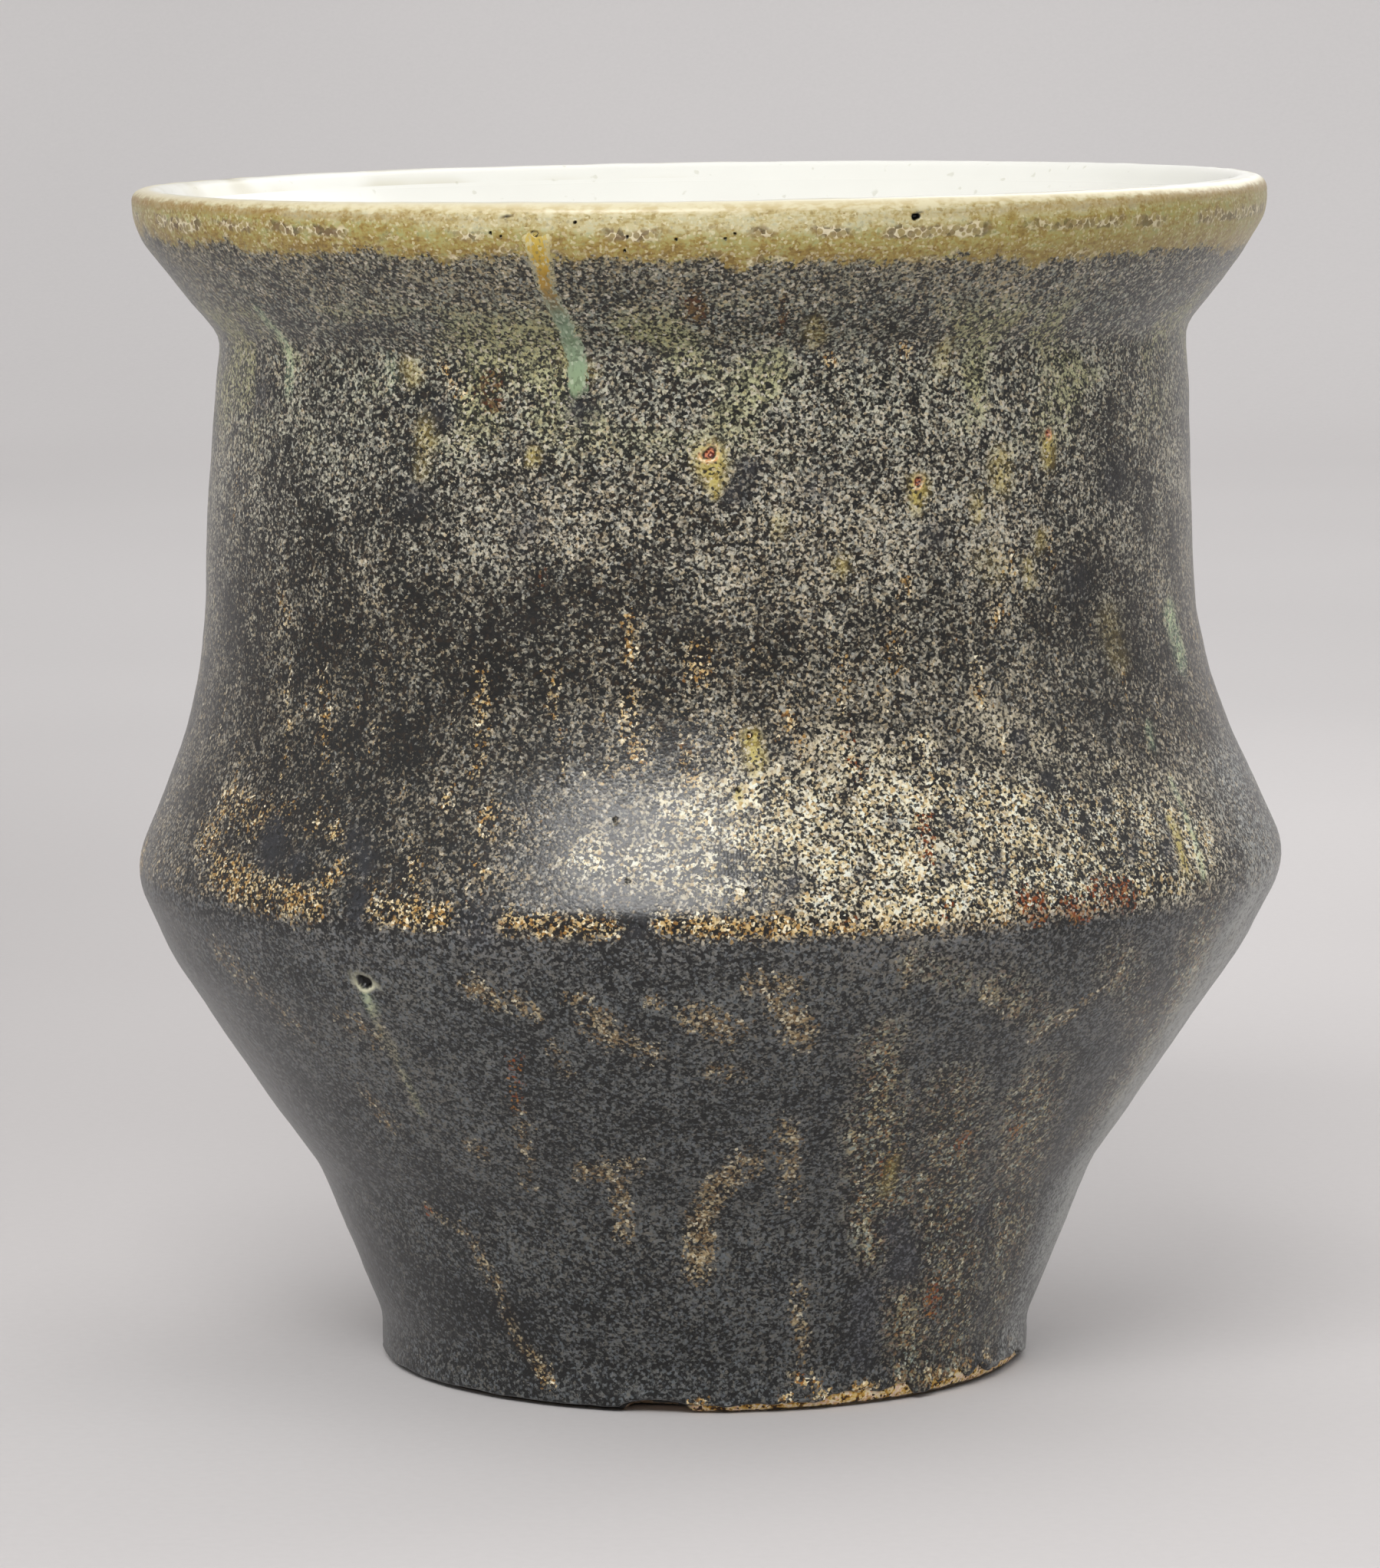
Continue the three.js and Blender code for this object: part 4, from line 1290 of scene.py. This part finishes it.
def make_stage():
    """A sheet of pale grey paper that sweeps up behind the vase. Its colour carries painted shade
    and light: darker behind the vase and to its right, darker towards the left, and paler just
    left of the foot, where the vase's shadow falls."""
    half_width = 9.0
    front = -9.0
    bend_start = 1.6
    bend_radius = 0.45
    bend_steps = 24
    top = 3.0
    cell = 0.025
    profile = [(front, 0.0)] + [(cell * k, 0.0) for k in range(-20, 64)] + [(bend_start, 0.0)]
    for k in range(1, bend_steps + 1):
        angle = math.pi / 2 * k / bend_steps
        back = bend_start + bend_radius * math.sin(angle)
        profile.append((back, bend_radius * (1 - math.cos(angle))))
    profile.append((bend_start + bend_radius, top))
    grid = bmesh.new()
    spots = [-half_width] + [cell * k for k in range(-20, 21)] + [half_width]
    strips = [[grid.verts.new((x, y, z)) for y, z in profile] for x in spots]
    for left, right in zip(strips, strips[1:]):
        for k in range(len(profile) - 1):
            grid.faces.new((left[k], right[k], right[k + 1], left[k + 1]))
    mesh = finished_mesh(grid, "paper_sweep")
    points = points_of(mesh) * MM
    aside, back = points[:, 0], points[:, 1]
    # Painted light: the paper is paler the further back it lies.
    paint(mesh, "rise", smooth(0.2, 1.2, back))
    # Painted shade: darker behind the vase, on the right beside the foot, and in a patch behind it to
    # the right.
    painted_shade_pool = 0.15 * between(-0.05, 0.18, 0.35, 0.8, back)
    painted_shade_pool *= 1 - 0.62 * smooth(-0.06, 0.06, aside)
    painted_shade_pool += 0.07 * smooth(0, 0.08, aside) * (1 - smooth(-0.05, 0.03, back))
    painted_shade_pool += 0.19 * np.exp(-(((aside - 0.25) / 0.2) ** 2 + ((back - 0.36) / 0.2) ** 2))
    paint(mesh, "painted_shade_pool", painted_shade_pool)
    # Painted light: paler just left of and in front of the foot, where the vase's shadow falls.
    painted_light_patch = 0.28 * np.exp(-(((aside + 0.065) / 0.055) ** 2 + ((back + 0.035) / 0.065) ** 2))
    paint(mesh, "painted_light_patch", painted_light_patch)
    # Painted shade: the paper darkens towards the left, behind the vase's front.
    paint(mesh, "painted_left_shade", smooth(0.02, 0.25, -aside) * smooth(-0.1, 0.2, back))
    sweep = in_scene("paper_sweep", mesh)
    mesh.materials.append(stage_finish("pale_paper", (207, 203, 202), (224, 220, 219)))


def make_light(name, place, size, power, target=(0, 0, 0.08), tint=(1, 1, 1)):
    light = bpy.data.lights.new(name, "AREA")
    light.shape = "RECTANGLE"
    light.size = size[0]
    light.size_y = size[1]
    light.energy = power
    light.color = tint
    lamp = in_scene(name, light)
    lamp.location = place
    lamp.rotation_euler = (Vector(target) - Vector(place)).to_track_quat("-Z", "Y").to_euler()


def make_lights():
    """A pale room, brighter above than in front, a soft lamp above and left of the camera, and a
    soft one behind that lifts the paper on the right."""
    world = bpy.data.worlds.new("studio")
    sky = Nodes(world)
    parts = sky.node("SeparateXYZ", {0: sky.out(sky.node("TexCoord"), "Generated")})

    def ranged(axis, start, end, low, high):
        span = {"From Min": start, "From Max": end, "To Min": low, "To Max": high}
        return sky.out(sky.node("MapRange", {"Value": sky.out(parts, axis), **span}))

    background = sky.tree.nodes["Background"]
    background.inputs["Color"].default_value = (0.99, 0.995, 1, 1)
    strength = ranged("Z", -0.1, 0.9, 0.57, 0.84) * ranged("Y", -0.95, -0.3, 0.5, 1.0)
    sky.fill(background, {"Strength": strength})
    bpy.context.scene.world = world
    turn = math.radians(-17)
    rise_angle = math.radians(39)
    reach = 1.3
    key = (
        reach * math.sin(turn) * math.cos(rise_angle),
        -reach * math.cos(turn) * math.cos(rise_angle),
        0.08 + reach * math.sin(rise_angle),
    )
    make_light("key_softbox", key, (0.8, 0.4), 11.2)
    make_light("back_softbox", (0.3, 0.34, 0.42), (0.5, 0.4), 1.5, target=(0.14, 0.1, 0))


def make_camera():
    """The photograph's viewpoint: nine tenths of a metre off, a little above the rim."""
    distance = 900
    camera_height = 185.53
    aside = -1.93
    pitch = 0.122
    focal_pixels = 9011.5
    frame_height_pixels = 2044
    sensor = 36
    camera = bpy.data.cameras.new("camera")
    camera.sensor_width = sensor
    camera.lens = sensor * focal_pixels / frame_height_pixels
    camera.clip_start = 0.05
    camera.clip_end = 20
    eye = in_scene("camera", camera)
    eye.location = (aside * MM, -distance * MM, camera_height * MM)
    eye.rotation_euler = (math.pi / 2 - pitch, 0, 0)
    bpy.context.scene.camera = eye


bpy.context.scene.view_settings.view_transform = "Standard"
make_camera()
make_clay()
make_outer_glaze()
make_rim_glaze()
make_liner()
make_run()
make_stage()
make_lights()
